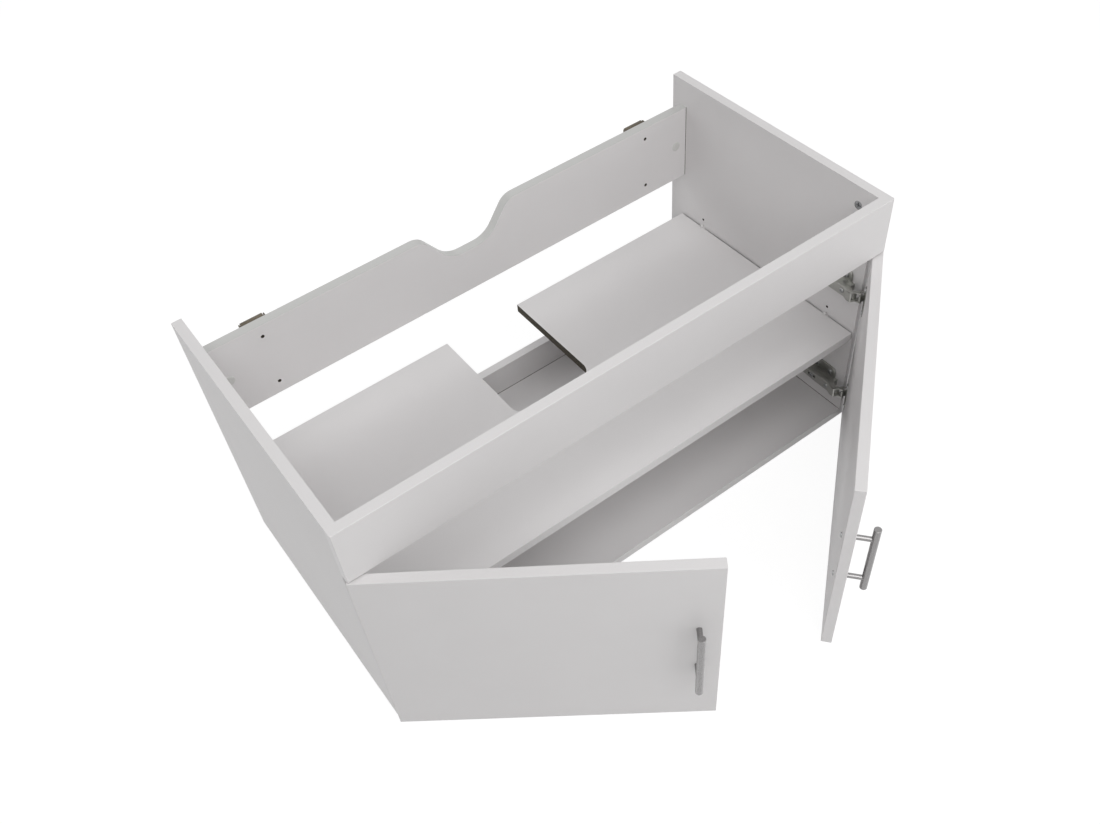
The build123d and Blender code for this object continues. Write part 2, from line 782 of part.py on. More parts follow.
# Inner link: x from its arm pivot to the open end of its fork, y to the wall.
inner_meeting = turned(
    between(inner_arm_pivot, door_point(inner_cup_pivot, meeting_angle)), -inner_link_rate * meeting_angle
)
inner_link_length = math.hypot(*inner_meeting)
inner_eye_radius = 2.4
inner_waist = (8, -1.7)
inner_waist_radius = 1.3
inner_root = (13, -0.1)
inner_root_radius = 2.1
fork_back = 1.45  # the fork's middle lies this far before the meeting point
fork_rise = 0.7
fork_radius = 3.05
fork_slot_radius = 1.95
fork_tip = 0.5  # the tines end this far past the meeting point

with BuildPart() as inner_link:
    fork_middle = (inner_link_length - fork_back, fork_rise)
    stations = (
        ((0, 0), inner_eye_radius),
        (inner_waist, inner_waist_radius),
        (inner_root, inner_root_radius),
        (fork_middle, fork_radius),
    )
    for (start, start_radius), (end, end_radius) in zip(stations, stations[1:]):
        with BuildSketch(Plane.XY):
            capsule(start, start_radius, end, end_radius)
        extrude(amount=inner_link_half, both=True)
    with BuildSketch(Plane.XY):
        capsule(fork_middle, fork_slot_radius, (inner_link_length + cup_depth, fork_rise), fork_slot_radius)
        with Locations((inner_link_length + fork_tip + cup_depth / 2, fork_rise)):
            Rectangle(cup_depth, cup_depth)
        RegularPolygon(pin_radius + pin_play, pin_sides, major_radius=False)
    extrude(amount=inner_link_half, both=True, mode=Mode.SUBTRACT)

# Cup: sunk in the door, its axis across the door's inner face, with an ear for a screw on each side.
ear_spots = [(cup_middle + flange_screw_inward, way * flange_screw_offset) for way in (-1, 1)]
with BuildPart() as hinge_cup:
    with BuildSketch(Plane.XZ):
        with Locations((cup_middle, 0)):
            RegularPolygon(cup_rim_radius, cup_sides)
        with Locations(*ear_spots):
            RegularPolygon(flange_ear_radius, disc_sides)
        make_hull()
    extrude(amount=-flange_thickness)
    with BuildSketch(Plane.XZ):
        with Locations((cup_middle, 0)):
            RegularPolygon(cup_outer_radius, cup_sides)
    extrude(amount=cup_depth - layer_gap)
    with BuildSketch(Plane.XZ.offset(cup_depth - layer_gap - cup_floor)):
        with Locations((cup_middle, 0)):
            RegularPolygon(cup_inner_radius, cup_sides)
    extrude(amount=-cup_depth, mode=Mode.SUBTRACT)
    for along, rise in ear_spots:
        screw_spot = (along, flange_thickness, rise)
        flat_drill(screw_spot, (0, 1, 0), cup_screw_diameter, flange_thickness, shank_sides)
    with BuildSketch(Plane.XY):
        with Locations(outer_cup_pivot, inner_cup_pivot):
            RegularPolygon(pin_radius, pin_sides)
    extrude(amount=cup_inner_radius, both=True, mode=Mode.SUBTRACT)


def pin_reach(pivot):
    """Half length of a cup pin whose ends lie inside the cup's wall."""
    far_edge = cup_middle - pivot[0] + pin_radius
    return math.sqrt(cup_outer_radius**2 - far_edge**2) - pin_play


with BuildPart() as cup_pins:
    with BuildSketch(Plane.XY):
        with Locations(inner_cup_pivot):
            RegularPolygon(pin_radius, pin_sides)
    extrude(amount=pin_reach(inner_cup_pivot), both=True)
    # two short pins, so that the inner link passes between them
    stub_start = inner_link_half + layer_gap
    for way in (-1, 1):
        with BuildSketch(Plane.XY.offset(way * stub_start)):
            with Locations(outer_cup_pivot):
                RegularPolygon(pin_radius, pin_sides)
        extrude(amount=way * (pin_reach(outer_cup_pivot) - stub_start))

with BuildPart() as cup_screws:
    for way in (-1, 1):
        spot = (cup_middle + flange_screw_inward, flange_thickness, way * flange_screw_offset)
        flat_rod(spot, (0, 1, 0), cup_screw_head, cup_screw_head_height, head_sides)
        flat_rod(spot, (0, -1, 0), cup_screw_diameter, flange_thickness + cup_screw_bite, shank_sides)

# ---------------------------------------------------------------- hinges in their places
for name, piece in (("hinge_mounting_plates", mounting_plate), ("arm_screws", arm_screws)):
    with BuildPart() as placed:
        for hand in hands:
            with Locations(*hinge_places(hand, (0, 0), (1, 0))):
                add(piece.part)
    # plan axes start at the closed door's inner face, as the plates' own sizes do
    finish(placed, name)

with BuildPart() as plate_screws:
    for hand, sign in hands.items():
        for place in plate_screw_places[hand]:
            seat = place + Vector(sign * wing_thickness, 0, 0)
            shank = wing_thickness + plate_screw_bite
            flat_rod(seat, (sign, 0, 0), plate_screw_head, plate_screw_head_height, head_sides)
            flat_rod(seat, (-sign, 0, 0), plate_screw_diameter, shank, shank_sides)
finish(plate_screws, "plate_screws")

for hand in hands:
    opening = door_opening[hand]
    outer_along = turned(between(outer_arm_pivot, outer_cup_pivot), outer_link_rate * opening)
    inner_along = turned(inner_meeting, inner_link_rate * opening)
    placings = {
        "hinge_arms": (hinge_arm, hinge_places(hand, (0, 0), (1, 0))),
        "arm_pins": (arm_pins, hinge_places(hand, (0, 0), (1, 0))),
        "outer_links": (outer_link, hinge_places(hand, outer_arm_pivot, outer_along)),
        "inner_links": (inner_link, hinge_places(hand, inner_arm_pivot, inner_along)),
        "hinge_cups": (hinge_cup, door_hinge_places(hand)),
        "cup_pins": (cup_pins, door_hinge_places(hand)),
        "cup_screws": (cup_screws, door_hinge_places(hand)),
    }
    for name, (piece, places) in placings.items():
        with BuildPart() as placed:
            with Locations(*places):
                add(piece.part)
        finish(placed, f"{hand}_{name}")

# ---------------------------------------------------------------- doors and handles
handle_along = door_edge + door_width - handle_edge_distance
post_heights = (handle_height - handle_spacing / 2, handle_height + handle_spacing / 2)

for hand, sign in hands.items():
    base = door_plane(hand, 0)
    front_way = -base.y_dir

    def on_door(along, out, height):
        """World place of a point of this door: along it, out of its inner face, and up."""
        return base.from_local_coords((along, out, 0)) + Vector(0, 0, height)

    with BuildPart() as door:
        with BuildSketch(door_plane(hand, door_bottom)):
            with Locations((door_edge + door_width / 2, -board / 2)):
                Rectangle(door_width, board)
        extrude(amount=door_height, dir=(0, 0, 1))
        chamfer(door.edges(), edge_break)
        for height in hinge_heights:
            drill(on_door(cup_middle, 0, height), base.y_dir, cup_diameter, cup_depth)
            for way in (-1, 1):
                screw_spot = on_door(cup_middle + flange_screw_inward, 0, height + way * flange_screw_offset)
                flat_drill(screw_spot, base.y_dir, cup_screw_diameter, cup_screw_bite, shank_sides)
        for height in post_heights:
            screw_spot = on_door(handle_along, 0, height)
            flat_drill(screw_spot, base.y_dir, handle_screw_diameter, board, shank_sides)
    finish(door, f"{hand}_door")

    with BuildPart() as handle_bar:
        bar_bottom = handle_height - handle_length / 2
        rod(on_door(handle_along, -board - handle_stand_off, bar_bottom), (0, 0, 1), handle_diameter, handle_length)
        chamfer(handle_bar.edges().filter_by(GeomType.CIRCLE), bar_end_chamfer)
    finish(handle_bar, f"{hand}_handle_bar")

    with BuildPart() as handle_posts:
        for height in post_heights:
            rod(on_door(handle_along, -board, height), front_way, post_diameter, handle_stand_off)
            thread_spot = on_door(handle_along, -board, height)
            flat_drill(thread_spot, base.y_dir, handle_screw_diameter, handle_screw_bite, shank_sides)
        add(handle_bar.part, mode=Mode.SUBTRACT)
    finish(handle_posts, f"{hand}_handle_posts")

    with BuildPart() as handle_screws:
        for height in post_heights:
            seat = on_door(handle_along, 0, height)
            flat_rod(seat, base.y_dir, handle_screw_head, handle_screw_head_height, head_sides)
            flat_rod(seat, front_way, handle_screw_diameter, board + handle_screw_bite, shank_sides)
    finish(handle_screws, f"{hand}_handle_screws")
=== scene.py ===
# %% [markdown]
# # A wall-hung basin cabinet with two doors, dressed for its picture
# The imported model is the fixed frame: every board and fitting comes from it in metres, X to the
# right, Y to the wall and Z up. This lesson gives the boards and metal their finishes, draws the
# small fittings as finely as the real ones are made, and lights them as plain studio goods.

import json
import math

import bmesh
import bpy
from mathutils import Matrix, Vector

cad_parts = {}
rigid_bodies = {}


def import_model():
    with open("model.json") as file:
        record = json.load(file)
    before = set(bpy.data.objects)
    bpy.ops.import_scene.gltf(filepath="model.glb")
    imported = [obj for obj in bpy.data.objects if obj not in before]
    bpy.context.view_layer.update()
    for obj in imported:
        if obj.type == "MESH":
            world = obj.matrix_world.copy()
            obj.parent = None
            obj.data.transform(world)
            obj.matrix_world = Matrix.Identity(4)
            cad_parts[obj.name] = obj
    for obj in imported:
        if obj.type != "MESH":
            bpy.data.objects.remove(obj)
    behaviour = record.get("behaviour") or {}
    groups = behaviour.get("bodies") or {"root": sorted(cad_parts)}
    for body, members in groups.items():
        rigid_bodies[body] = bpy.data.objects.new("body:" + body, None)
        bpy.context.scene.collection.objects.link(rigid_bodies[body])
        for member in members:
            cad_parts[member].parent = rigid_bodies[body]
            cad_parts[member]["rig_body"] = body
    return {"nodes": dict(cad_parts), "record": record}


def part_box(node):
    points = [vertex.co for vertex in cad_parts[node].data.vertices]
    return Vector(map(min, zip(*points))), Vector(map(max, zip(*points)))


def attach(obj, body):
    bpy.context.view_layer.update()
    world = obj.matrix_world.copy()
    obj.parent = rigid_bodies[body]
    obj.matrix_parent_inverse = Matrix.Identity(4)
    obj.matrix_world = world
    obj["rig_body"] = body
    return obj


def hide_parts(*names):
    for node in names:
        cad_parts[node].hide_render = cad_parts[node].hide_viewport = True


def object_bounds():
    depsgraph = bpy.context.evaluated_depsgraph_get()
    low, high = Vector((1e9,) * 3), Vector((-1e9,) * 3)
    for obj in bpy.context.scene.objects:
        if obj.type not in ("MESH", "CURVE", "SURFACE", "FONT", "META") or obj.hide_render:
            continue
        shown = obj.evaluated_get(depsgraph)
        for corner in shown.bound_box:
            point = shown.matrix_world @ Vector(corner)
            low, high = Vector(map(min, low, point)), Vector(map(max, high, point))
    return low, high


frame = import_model()
nodes = frame["nodes"]
cad_box = [list(corner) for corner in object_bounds()]
mm = 0.001  # the frame is in metres
print("CAD box in metres:", cad_box)

# %% [markdown]
# ## The camera
# The photograph looks down into the cabinet from the front left, slightly rolled. Its place was
# found from the cabinet's own edges, whose lengths are known, so the camera is set by numbers and
# not by eye. The small shift stands for a picture cropped a little off the lens's middle.

# %% Camera
camera_data = bpy.data.cameras.new("photo_camera")
camera_data.lens = 35.38
camera_data.sensor_width = 36
camera_data.shift_x = 0.0118
camera_data.shift_y = 0.0065
camera = bpy.data.objects.new("photo_camera", camera_data)
camera.location = (-0.6334, -1.0309, 1.5030)
camera.rotation_euler = [math.radians(angle) for angle in (41.16507, 4.87687, -35.84480)]
bpy.context.scene.collection.objects.link(camera)
bpy.context.scene.camera = camera
bpy.context.scene.view_settings.view_transform = "Standard"
print("camera at", tuple(round(v, 3) for v in camera.location))

# %% [markdown]
# ## Tools for finishes
# Colours are written as people see them on a screen, in hex, and one function turns them to the
# linear values that the renderer mixes. One more function adds a node, so that a finish reads as a
# short list of what feeds what.


# %% Colour and node helpers
def linear(code):
    """An sRGB hex colour as linear red, green and blue, with full alpha."""
    parts = [int(code[i : i + 2], 16) / 255 for i in (1, 3, 5)]
    return [c / 12.92 if c <= 0.04045 else ((c + 0.055) / 1.055) ** 2.4 for c in parts] + [1.0]


def add(tree, kind, sockets=None, **settings):
    """Add a node of a kind; its sockets take a value or another node's output."""
    node = tree.nodes.new("ShaderNode" + kind)
    for name, value in settings.items():
        setattr(node, name, value)
    for name, value in (sockets or {}).items():
        if isinstance(value, bpy.types.NodeSocket):
            tree.links.new(value, node.inputs[name])
        else:
            node.inputs[name].default_value = value
    return node


def new_finish(name):
    """A material with an empty tree, and its own coordinates in metres."""
    material = bpy.data.materials.new(name)
    material.use_nodes = True
    tree = material.node_tree
    tree.nodes.clear()
    place = add(tree, "TexCoord").outputs["Object"]
    return material, tree, place


def output(tree, shader):
    """Send the shader to the surface."""
    add(tree, "OutputMaterial", {"Surface": shader.outputs[0]})


# %% [markdown]
# ## White melamine-faced board
# Cabinet boards are particle board under a printed paper soaked in melamine resin and pressed hot
# against a steel plate. The plate gives the face a very fine pearl, about half a millimetre across,
# and a satin gloss. The colour is one white, a little grey, with no grain. Two tones a hair apart
# drift across it, so that a large face isn't one flat value. The pearl is bump, since it is far too
# shallow to change the outline, and the same noise moves the gloss slightly.


# %% Melamine finish
def melamine(name, tone, cloud_tone):
    """Pressed resin paper: wide faint clouds of two near whites under a fine pearl."""
    material, tree, place = new_finish(name)
    pearl_size = 0.6 * mm
    pearl_depth = 0.02 * mm
    cloud_size = 90 * mm
    pearl = add(tree, "TexNoise", {"Vector": place, "Scale": 1 / pearl_size, "Detail": 2.0})
    cloud = add(tree, "TexNoise", {"Vector": place, "Scale": 1 / cloud_size, "Detail": 3.0})
    tones = {"Color1": linear(tone), "Color2": linear(cloud_tone)}
    colour = add(tree, "MixRGB", {"Fac": cloud.outputs["Fac"]} | tones)
    height = pearl.outputs["Fac"]
    gloss = add(tree, "MapRange", {"Value": height, "To Min": 0.42, "To Max": 0.52})
    bump = add(tree, "Bump", {"Height": height, "Strength": 0.12, "Distance": pearl_depth})
    sockets = {
        "Base Color": colour.outputs["Color"],
        "Roughness": gloss.outputs["Result"],
        "Normal": bump.outputs["Normal"],
        "IOR": 1.5,
    }
    output(tree, add(tree, "BsdfPrincipled", sockets))
    return material


board_white = melamine("melamine_faced_particle_board", "#DFDDDD", "#DBD9D9")
print("finish:", board_white.name)

# %% [markdown]
# ## Edge bands
# The boards' cut edges are covered with a strip of white ABS plastic, glued on and trimmed flush.
# It is smoother than the pressed face, and the trimming knife leaves slow changes in its gloss. The
# back rail's edge looks up, yet a greyer strip keeps it no lighter than the rail's face: that grey
# is painted shade. The cause can't be seen there, so a greyer strip is a guess that gives the same
# tone.


# %% Edge band finishes
def edge_strip(name, tone):
    """Plastic strip with slow changes of gloss from the trimming knife."""
    material, tree, place = new_finish(name)
    mark_size = 4 * mm
    mark_depth = 0.05 * mm
    marks = add(tree, "TexNoise", {"Vector": place, "Scale": 1 / mark_size, "Detail": 1.0})
    height = marks.outputs["Fac"]
    gloss = add(tree, "MapRange", {"Value": height, "To Min": 0.34, "To Max": 0.42})
    bump = add(tree, "Bump", {"Height": height, "Strength": 0.05, "Distance": mark_depth})
    sockets = {"Base Color": linear(tone), "Roughness": gloss.outputs["Result"], "IOR": 1.52}
    output(tree, add(tree, "BsdfPrincipled", sockets | {"Normal": bump.outputs["Normal"]}))
    return material


edge_band = edge_strip("abs_edge_band", "#E0DEDE")
# The back rail's band is greyer as painted shade, so its upward edge is no lighter than its face.
rail_band_painted_shade = edge_strip("edge_band_painted_shade", "#C6C6C4")
print("finishes:", edge_band.name, "and", rail_band_painted_shade.name)

# %% [markdown]
# ## Bare particle board
# Where the shelf is cut out for the pipes, and inside every bore, the core shows: pressed wood
# chips a millimetre or two long in dark resin. It is rough and takes no gloss. Cells of about that
# size, flattened and each with its own tone, draw the chips.

# %% Particle board core
board_core, tree, place = new_finish("particle_board_core")
chip_size = 1.6 * mm
chip_depth = 0.4 * mm
flattened = (0.6, 0.6, 1.6)  # cells stretched level and squeezed upright
chip_place = add(tree, "Mapping", {"Vector": place, "Scale": flattened}).outputs["Vector"]
chips = add(tree, "TexVoronoi", {"Vector": chip_place, "Scale": 1 / chip_size})
chip_tone = add(tree, "RGBToBW", {"Color": chips.outputs["Color"]})
tones = {"Color1": linear("#2B2823"), "Color2": linear("#5A5345")}
colour = add(tree, "MixRGB", {"Fac": chip_tone.outputs["Val"]} | tones)
relief = {"Height": chips.outputs["Distance"], "Strength": 0.6, "Distance": chip_depth}
bump = add(tree, "Bump", relief)
sockets = {"Base Color": colour.outputs["Color"], "Normal": bump.outputs["Normal"]}
output(tree, add(tree, "BsdfPrincipled", sockets | {"Roughness": 0.9}))
print("finish:", board_core.name)

# %% [markdown]
# ## Giving each face of a board its finish
# A board wears three finishes: melamine on its two faces, edge band round its outline and bare core
# in its bores. The face's own direction tells which: along the board's thickness it is melamine,
# else it is an edge, and an edge that lies away from the outline is a cut. The back rail's notch,
# in the middle of its top, is banded like its outline. The shelf's pipe cut-out and its two ends
# are sawn, bare and dark.


# %% Board faces
face_like = 0.6  # cosine above which a normal looks along the board's thickness
outline_strip = 1.2 * mm  # an edge nearer to the outline than this is part of it
end_strip = 1 * mm  # and one nearer to the board's end than this is part of the end


def dress_board(name, band, notch_half=0.0, bare_ends=False):
    """Faces of a board by place. An edge inside the outline is bare, save within a notch's
    half width of the board's middle."""
    mesh = nodes[name].data
    mesh.materials.clear()
    for finish in (board_white, band, board_core):
        mesh.materials.append(finish)
    thick = max(mesh.polygons, key=lambda face: face.area).normal.copy()
    level = Vector((0, 0, 1)).cross(thick)
    lies_flat = level.length < 0.1
    across = Vector((1, 0, 0)) if lies_flat else level.normalized()
    spans = []
    for axis in (across, thick.cross(across)):
        along = [vertex.co.dot(axis) for vertex in mesh.vertices]
        spans.append((axis, min(along), max(along)))
    counts = [0, 0, 0]
    for face in mesh.polygons:
        if abs(face.normal.dot(thick)) > face_like:
            face.material_index = 0
        else:
            depths = []
            for axis, low, high in spans:
                spot = face.center.dot(axis)
                depths.append(min(spot - low, high - spot))
            in_notch = abs(face.center.dot(across)) < notch_half
            inside = min(depths) > outline_strip and not in_notch
            bare = inside or (bare_ends and depths[0] < end_strip)
            face.material_index = 2 if bare else 1
        counts[face.material_index] += 1
    print(name, "faces: melamine", counts[0], "band", counts[1], "bare", counts[2])


board_endings = ("_panel", "_rail", "_door", "shelf")
boards = [name for name in nodes if name.endswith(board_endings)]
half_notch_zone = 200 * mm  # wider than the notch, and clear of the bores at the rail's ends
for name in boards:
    if name == "back_rail":
        dress_board(name, rail_band_painted_shade, notch_half=half_notch_zone)
    else:
        dress_board(name, edge_band, bare_ends=name == "shelf")

# %% [markdown]
# ## White moulded plastic
# The shelf supports and the covers over the cams are injection-moulded polypropylene. The mould's
# walls were spark-eroded, which leaves a faint even grain about a millimetre across and a soft waxy
# gloss. The covers get a greyer tone than the boards, which is painted shade for the shade that lies
# on them.


# %% Two close tones, mottled
def mottled(name, tones, size, bump_depth, **values):
    """A finish of two close tones in spots of one size, with the shader's own constants."""
    material, tree, place = new_finish(name)
    spots = add(tree, "TexNoise", {"Vector": place, "Scale": 1 / size, "Detail": 3.0})
    first, second = (linear(tone) for tone in tones)
    colour = add(tree, "MixRGB", {"Fac": spots.outputs["Fac"], "Color1": first, "Color2": second})
    relief = {"Height": spots.outputs["Fac"], "Strength": 0.3, "Distance": bump_depth}
    bump = add(tree, "Bump", relief)
    sockets = {"Base Color": colour.outputs["Color"], "Normal": bump.outputs["Normal"]}
    output(tree, add(tree, "BsdfPrincipled", sockets | values))
    return material


mould_grain = 1.2 * mm
mould_depth = 0.02 * mm
white_plastic = mottled(
    "moulded_white_polypropylene",
    ("#DDDCDB", "#D6D5D4"),
    mould_grain,
    mould_depth,
    Roughness=0.45,
    IOR=1.49,
)
# The covers' greyer tone is painted shade.
cover_plastic_painted_shade = mottled(
    "polypropylene_painted_shade",
    ("#CFCFCC", "#C8C8C5"),
    mould_grain,
    mould_depth,
    Roughness=0.5,
    IOR=1.49,
)
print("finishes:", white_plastic.name, "and", cover_plastic_painted_shade.name)

# %% [markdown]
# ## Satin nickel of the handles
# The handles are steel bars, brushed along their length and nickel plated. Brushing cuts fine
# scratches, each much longer than it is wide, so highlights draw out across the bar into soft
# bands. Real scratches are a twentieth of a millimetre wide. Here they are a quarter, so that they
# still show in the picture. The noise is stretched along the upright bar, and it moves tone and
# gloss as well as the surface.

# %% Brushed satin nickel
satin_nickel, tree, place = new_finish("brushed_satin_nickel")
scratch_width = 0.25 * mm
scratch_length = 14 * mm
scratch_depth = 0.02 * mm
stretch = (1 / scratch_width, 1 / scratch_width, 1 / scratch_length)
along = add(tree, "Mapping", {"Vector": place, "Scale": stretch}).outputs["Vector"]
scratches = add(tree, "TexNoise", {"Vector": along, "Scale": 1.0, "Detail": 2.0})
height = scratches.outputs["Fac"]
tones = {"Color1": linear("#7C7B7B"), "Color2": linear("#A5A3A3")}
nickel = add(tree, "MixRGB", {"Fac": height} | tones)
satin = add(tree, "MapRange", {"Value": height, "To Min": 0.2, "To Max": 0.34})
brushing = add(tree, "Bump", {"Height": height, "Strength": 0.35, "Distance": scratch_depth})
sockets = {
    "Base Color": nickel.outputs["Color"],
    "Roughness": satin.outputs["Result"],
    "Normal": brushing.outputs["Normal"],
    "Metallic": 1.0,
}
output(tree, add(tree, "BsdfPrincipled", sockets))
print("finish:", satin_nickel.name)

# %% [markdown]
# ## The small metals
# The hinges are pressed from rolled steel strip, tumbled to take the burrs off and nickel plated:
# warm grey, evenly dull, with cloudy tones a couple of millimetres across. Their cups are smoother,
# and their darker grey is painted shade for the shade on their flanges. The screws are zinc plated
# and cleaner. The hangers' adjusting screws are near black, which is painted shade for the black of
# their holes. The hangers are steel with a brown passivated zinc coat, and the cams are die-cast
# zinc, whose skin is a fine matt grain. All of them mirror the white room, so tone and roughness
# tell them apart, and one table holds both.

# %% Metals of the fittings
metals = {  # two tones, then in millimetres the size and depth of their mottling, then roughness
    "nickel_plated_pressed_steel": ("#BABAB6", "#A2A29D", 2, 0.03, 0.42),
    # The cups' darker grey is painted shade.
    "nickel_plated_steel_painted_shade": ("#949490", "#80807C", 2, 0.03, 0.32),
    "zinc_plated_screw_steel": ("#AEAFAF", "#949596", 1.5, 0.02, 0.3),
    "brown_passivated_steel": ("#6B6458", "#48423A", 3, 0.04, 0.42),
    # Near black as painted shade: the holes of the adjusting screws look black.
    "adjuster_screw_painted_shade": ("#2A2A2B", "#1C1C1E", 1.5, 0.02, 0.5),
    "die_cast_zinc": ("#A9AAAB", "#8F9092", 0.8, 0.05, 0.48),
}
hinge_steel, cup_steel_painted_shade, screw_steel, hanger_steel, adjuster_steel_painted_shade, cast_zinc = (
    mottled(name, (first, second), size * mm, depth * mm, Metallic=1.0, Roughness=roughness)
    for name, (first, second, size, depth, roughness) in metals.items()
)
print("metals:", list(metals))

# %% [markdown]
# ## Beech dowels
# The dowels are turned from beech, which shows short darker flecks along the grain. They lie inside
# the joints, level, and come out only when the cabinet is taken apart, so noise drawn out along one
# axis is enough.

# %% Beech
beech, tree, place = new_finish("turned_beech")
fleck_width = 0.6 * mm
fleck_length = 4 * mm
grain = (1 / fleck_length, 1 / fleck_width, 1 / fleck_width)
along = add(tree, "Mapping", {"Vector": place, "Scale": grain}).outputs["Vector"]
flecks = add(tree, "TexNoise", {"Vector": along, "Scale": 1.0, "Detail": 4.0})
tones = {"Color1": linear("#D2AE82"), "Color2": linear("#A9825A")}
wood = add(tree, "MixRGB", {"Fac": flecks.outputs["Fac"]} | tones)
sockets = {"Base Color": wood.outputs["Color"], "Roughness": 0.65, "IOR": 1.45}
output(tree, add(tree, "BsdfPrincipled", sockets))
print("finish:", beech.name)

# %% [markdown]
# ## Every fitting in its finish
# The record names a material slot for each node. One table turns those slots into finishes, so no
# fitting can be forgotten, and the pieces made below look their finish up in the same table.

# %% Finishes by slot
finish_of_slot = {
    "white_plastic": white_plastic,
    "satin_nickel": satin_nickel,
    "hinge_steel": hinge_steel,
    "fastener_steel": screw_steel,
    "dark_steel": hanger_steel,
    "zinc": cast_zinc,
    "beech": beech,
}
slot_of_node = {part["node"]: part["material_slot"] for part in frame["record"]["subparts"]}
for name, slot in slot_of_node.items():
    if slot in finish_of_slot:
        nodes[name].data.materials.clear()
        nodes[name].data.materials.append(finish_of_slot[slot])
print("fittings with a finish:", sum(slot in finish_of_slot for slot in slot_of_node.values()))

# %% [markdown]
# ## Reading places from the frame
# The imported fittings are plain: their heads and discs have flats. The finer ones made here have to
# stand exactly where those stand. So each node is taken apart into its solids, and each solid says
# where its largest face is, which way that face looks and how wide it is, where its steps are and
# how wide its foot is. Nothing is placed by a number that was typed twice.


# %% Solids and their seats
weld = 0.002 * mm  # corners nearer than this are one corner
same_level = 0.01 * mm  # points this near to a level lie in it
foot_zone = 0.1 * mm  # and points this near to the lowest step belong to the foot


def by_number(element):
    """A mesh element's own number. Sets are walked in this order, so that every run sums alike."""
    return element.index


def solids_of(name):
    """The separate solids of a node: the corner points of each one, and for each of its faces the
    normal, the area, the middle and the numbers of its corners."""
    shape = bmesh.new()
    shape.from_mesh(nodes[name].data)
    bmesh.ops.remove_doubles(shape, verts=shape.verts, dist=weld)
    shape.verts.index_update()
    shape.faces.index_update()
    left, found = set(shape.verts), []
    while left:
        first = min(left, key=by_number)
        left.remove(first)
        group, front = [], [first]
        while front:
            vertex = front.pop()
            group.append(vertex)
            near = {edge.other_vert(vertex) for edge in vertex.link_edges} & left
            left -= near
            front += near
        group.sort(key=by_number)
        points = [vertex.co.copy() for vertex in group]
        faces, sides = {face for vertex in group for face in vertex.link_faces}, []
        for face in sorted(faces, key=by_number):
            corners = {vertex.index for vertex in face.verts}
            sides.append((face.normal.copy(), face.calc_area(), face.calc_center_median(), corners))
        found.append((points, sides))
    shape.free()
    return sorted(found, key=lambda solid: [round(v, 5) for v in middle_of(solid[0])])


def box_of(points):
    """The lowest and the highest corner of the box round some points."""
    low = Vector([min(point[axis] for point in points) for axis in range(3)])
    high = Vector([max(point[axis] for point in points) for axis in range(3)])
    return low, high


def middle_of(points):
    """The middle of the box round some points."""
    low, high = box_of(points)
    return (low + high) / 2


def seat_of(solid):
    """The largest flat face with more than four corners: its middle, the way it looks and its
    radius, then the depths of the steps below it and the radius of the lowest one."""
    points, sides = solid
    flats = {}
    for side in sides:
        normal, _, middle, _ = side
        key = (*(round(part, 2) for part in normal), round(middle.dot(normal) / mm, 1))
        flats.setdefault(key, []).append(side)
    round_flats = [
        group for group in flats.values() if len(set().union(*(side[3] for side in group))) > 4
    ]
    largest = max(round_flats, key=lambda group: sum(side[1] for side in group))
    total = sum(side[1] for side in largest)
    spot = sum((side[2] * side[1] for side in largest), Vector()) / total
    way = largest[0][0]
    depths = [(spot - point).dot(way) for point in points]
    steps = sorted({round(depth / mm, 1) * mm for depth in depths})
    placed = list(zip(points, depths))
    radius = max((point - spot).length for point, depth in placed if abs(depth) < same_level)
    foot = [point - spot for point, depth in placed if abs(depth - steps[-1]) < foot_zone]
    foot_radius = max((arm - way * arm.dot(way)).length for arm in foot)
    return spot, way, radius, steps, foot_radius


print("screw seat read from the frame:", seat_of(solids_of("plate_screws")[0]))

# %% [markdown]
# ## Tools for turned pieces
# Screws, cams, covers and pins are all turned or pressed round forms. Such a form is a stack of
# rings, each with its own radius and height, joined to the next by a band of faces. A flat face
# with a hole in it is filled between two closed loops. Each piece is drawn once about its own axis,
# then set down at every seat.


# %% Rings, fills and pieces
def ring(shape, radius, height, sides=32):
    """A ring of points round the z axis."""
    angles = [2 * math.pi * step / sides for step in range(sides)]
    return [
        shape.verts.new((radius * math.cos(angle), radius * math.sin(angle), height))
        for angle in angles
    ]


def join(shape, loops):
    """A band of faces between each loop and the next; all have the same number of points."""
    for lower, upper in zip(loops, loops[1:]):
        for step in range(len(lower)):
            shape.faces.new((lower[step - 1], lower[step], upper[step], upper[step - 1]))


def close_ends(shape, loops):
    """One face over the first loop and one over the last."""
    for loop in (loops[0], loops[-1]):
        shape.faces.new(loop)


def stack(shape, profile):
    """Rings at (radius, height) pairs, each joined to the one before it."""
    rings = [ring(shape, radius, height) for radius, height in profile]
    join(shape, rings)
    return rings


def fill_between(shape, outer, inner):
    """A flat face between an outer loop and the loop of a hole in it."""
    pairs = [pair for loop in (outer, inner) for pair in zip(loop, loop[1:] + loop[:1])]
    edges = [shape.edges.get(pair) or shape.edges.new(pair) for pair in pairs]
    bmesh.ops.triangle_fill(shape, use_beauty=True, use_dissolve=False, edges=edges)


def facing(spot, way):
    """The placing that sets a form's own z along a way, with its zero at the spot."""
    return Matrix.Translation(spot) @ way.to_track_quat("Z", "Y").to_matrix().to_4x4()


def gather(shape, made, placing):
    """Add a finished form to a piece at its place."""
    made.transform(placing)
    bmesh.ops.recalc_face_normals(made, faces=made.faces)
    carrier = bpy.data.meshes.new("carrier")
    made.to_mesh(carrier)
    made.free()
    shape.from_mesh(carrier)
    bpy.data.meshes.remove(carrier)


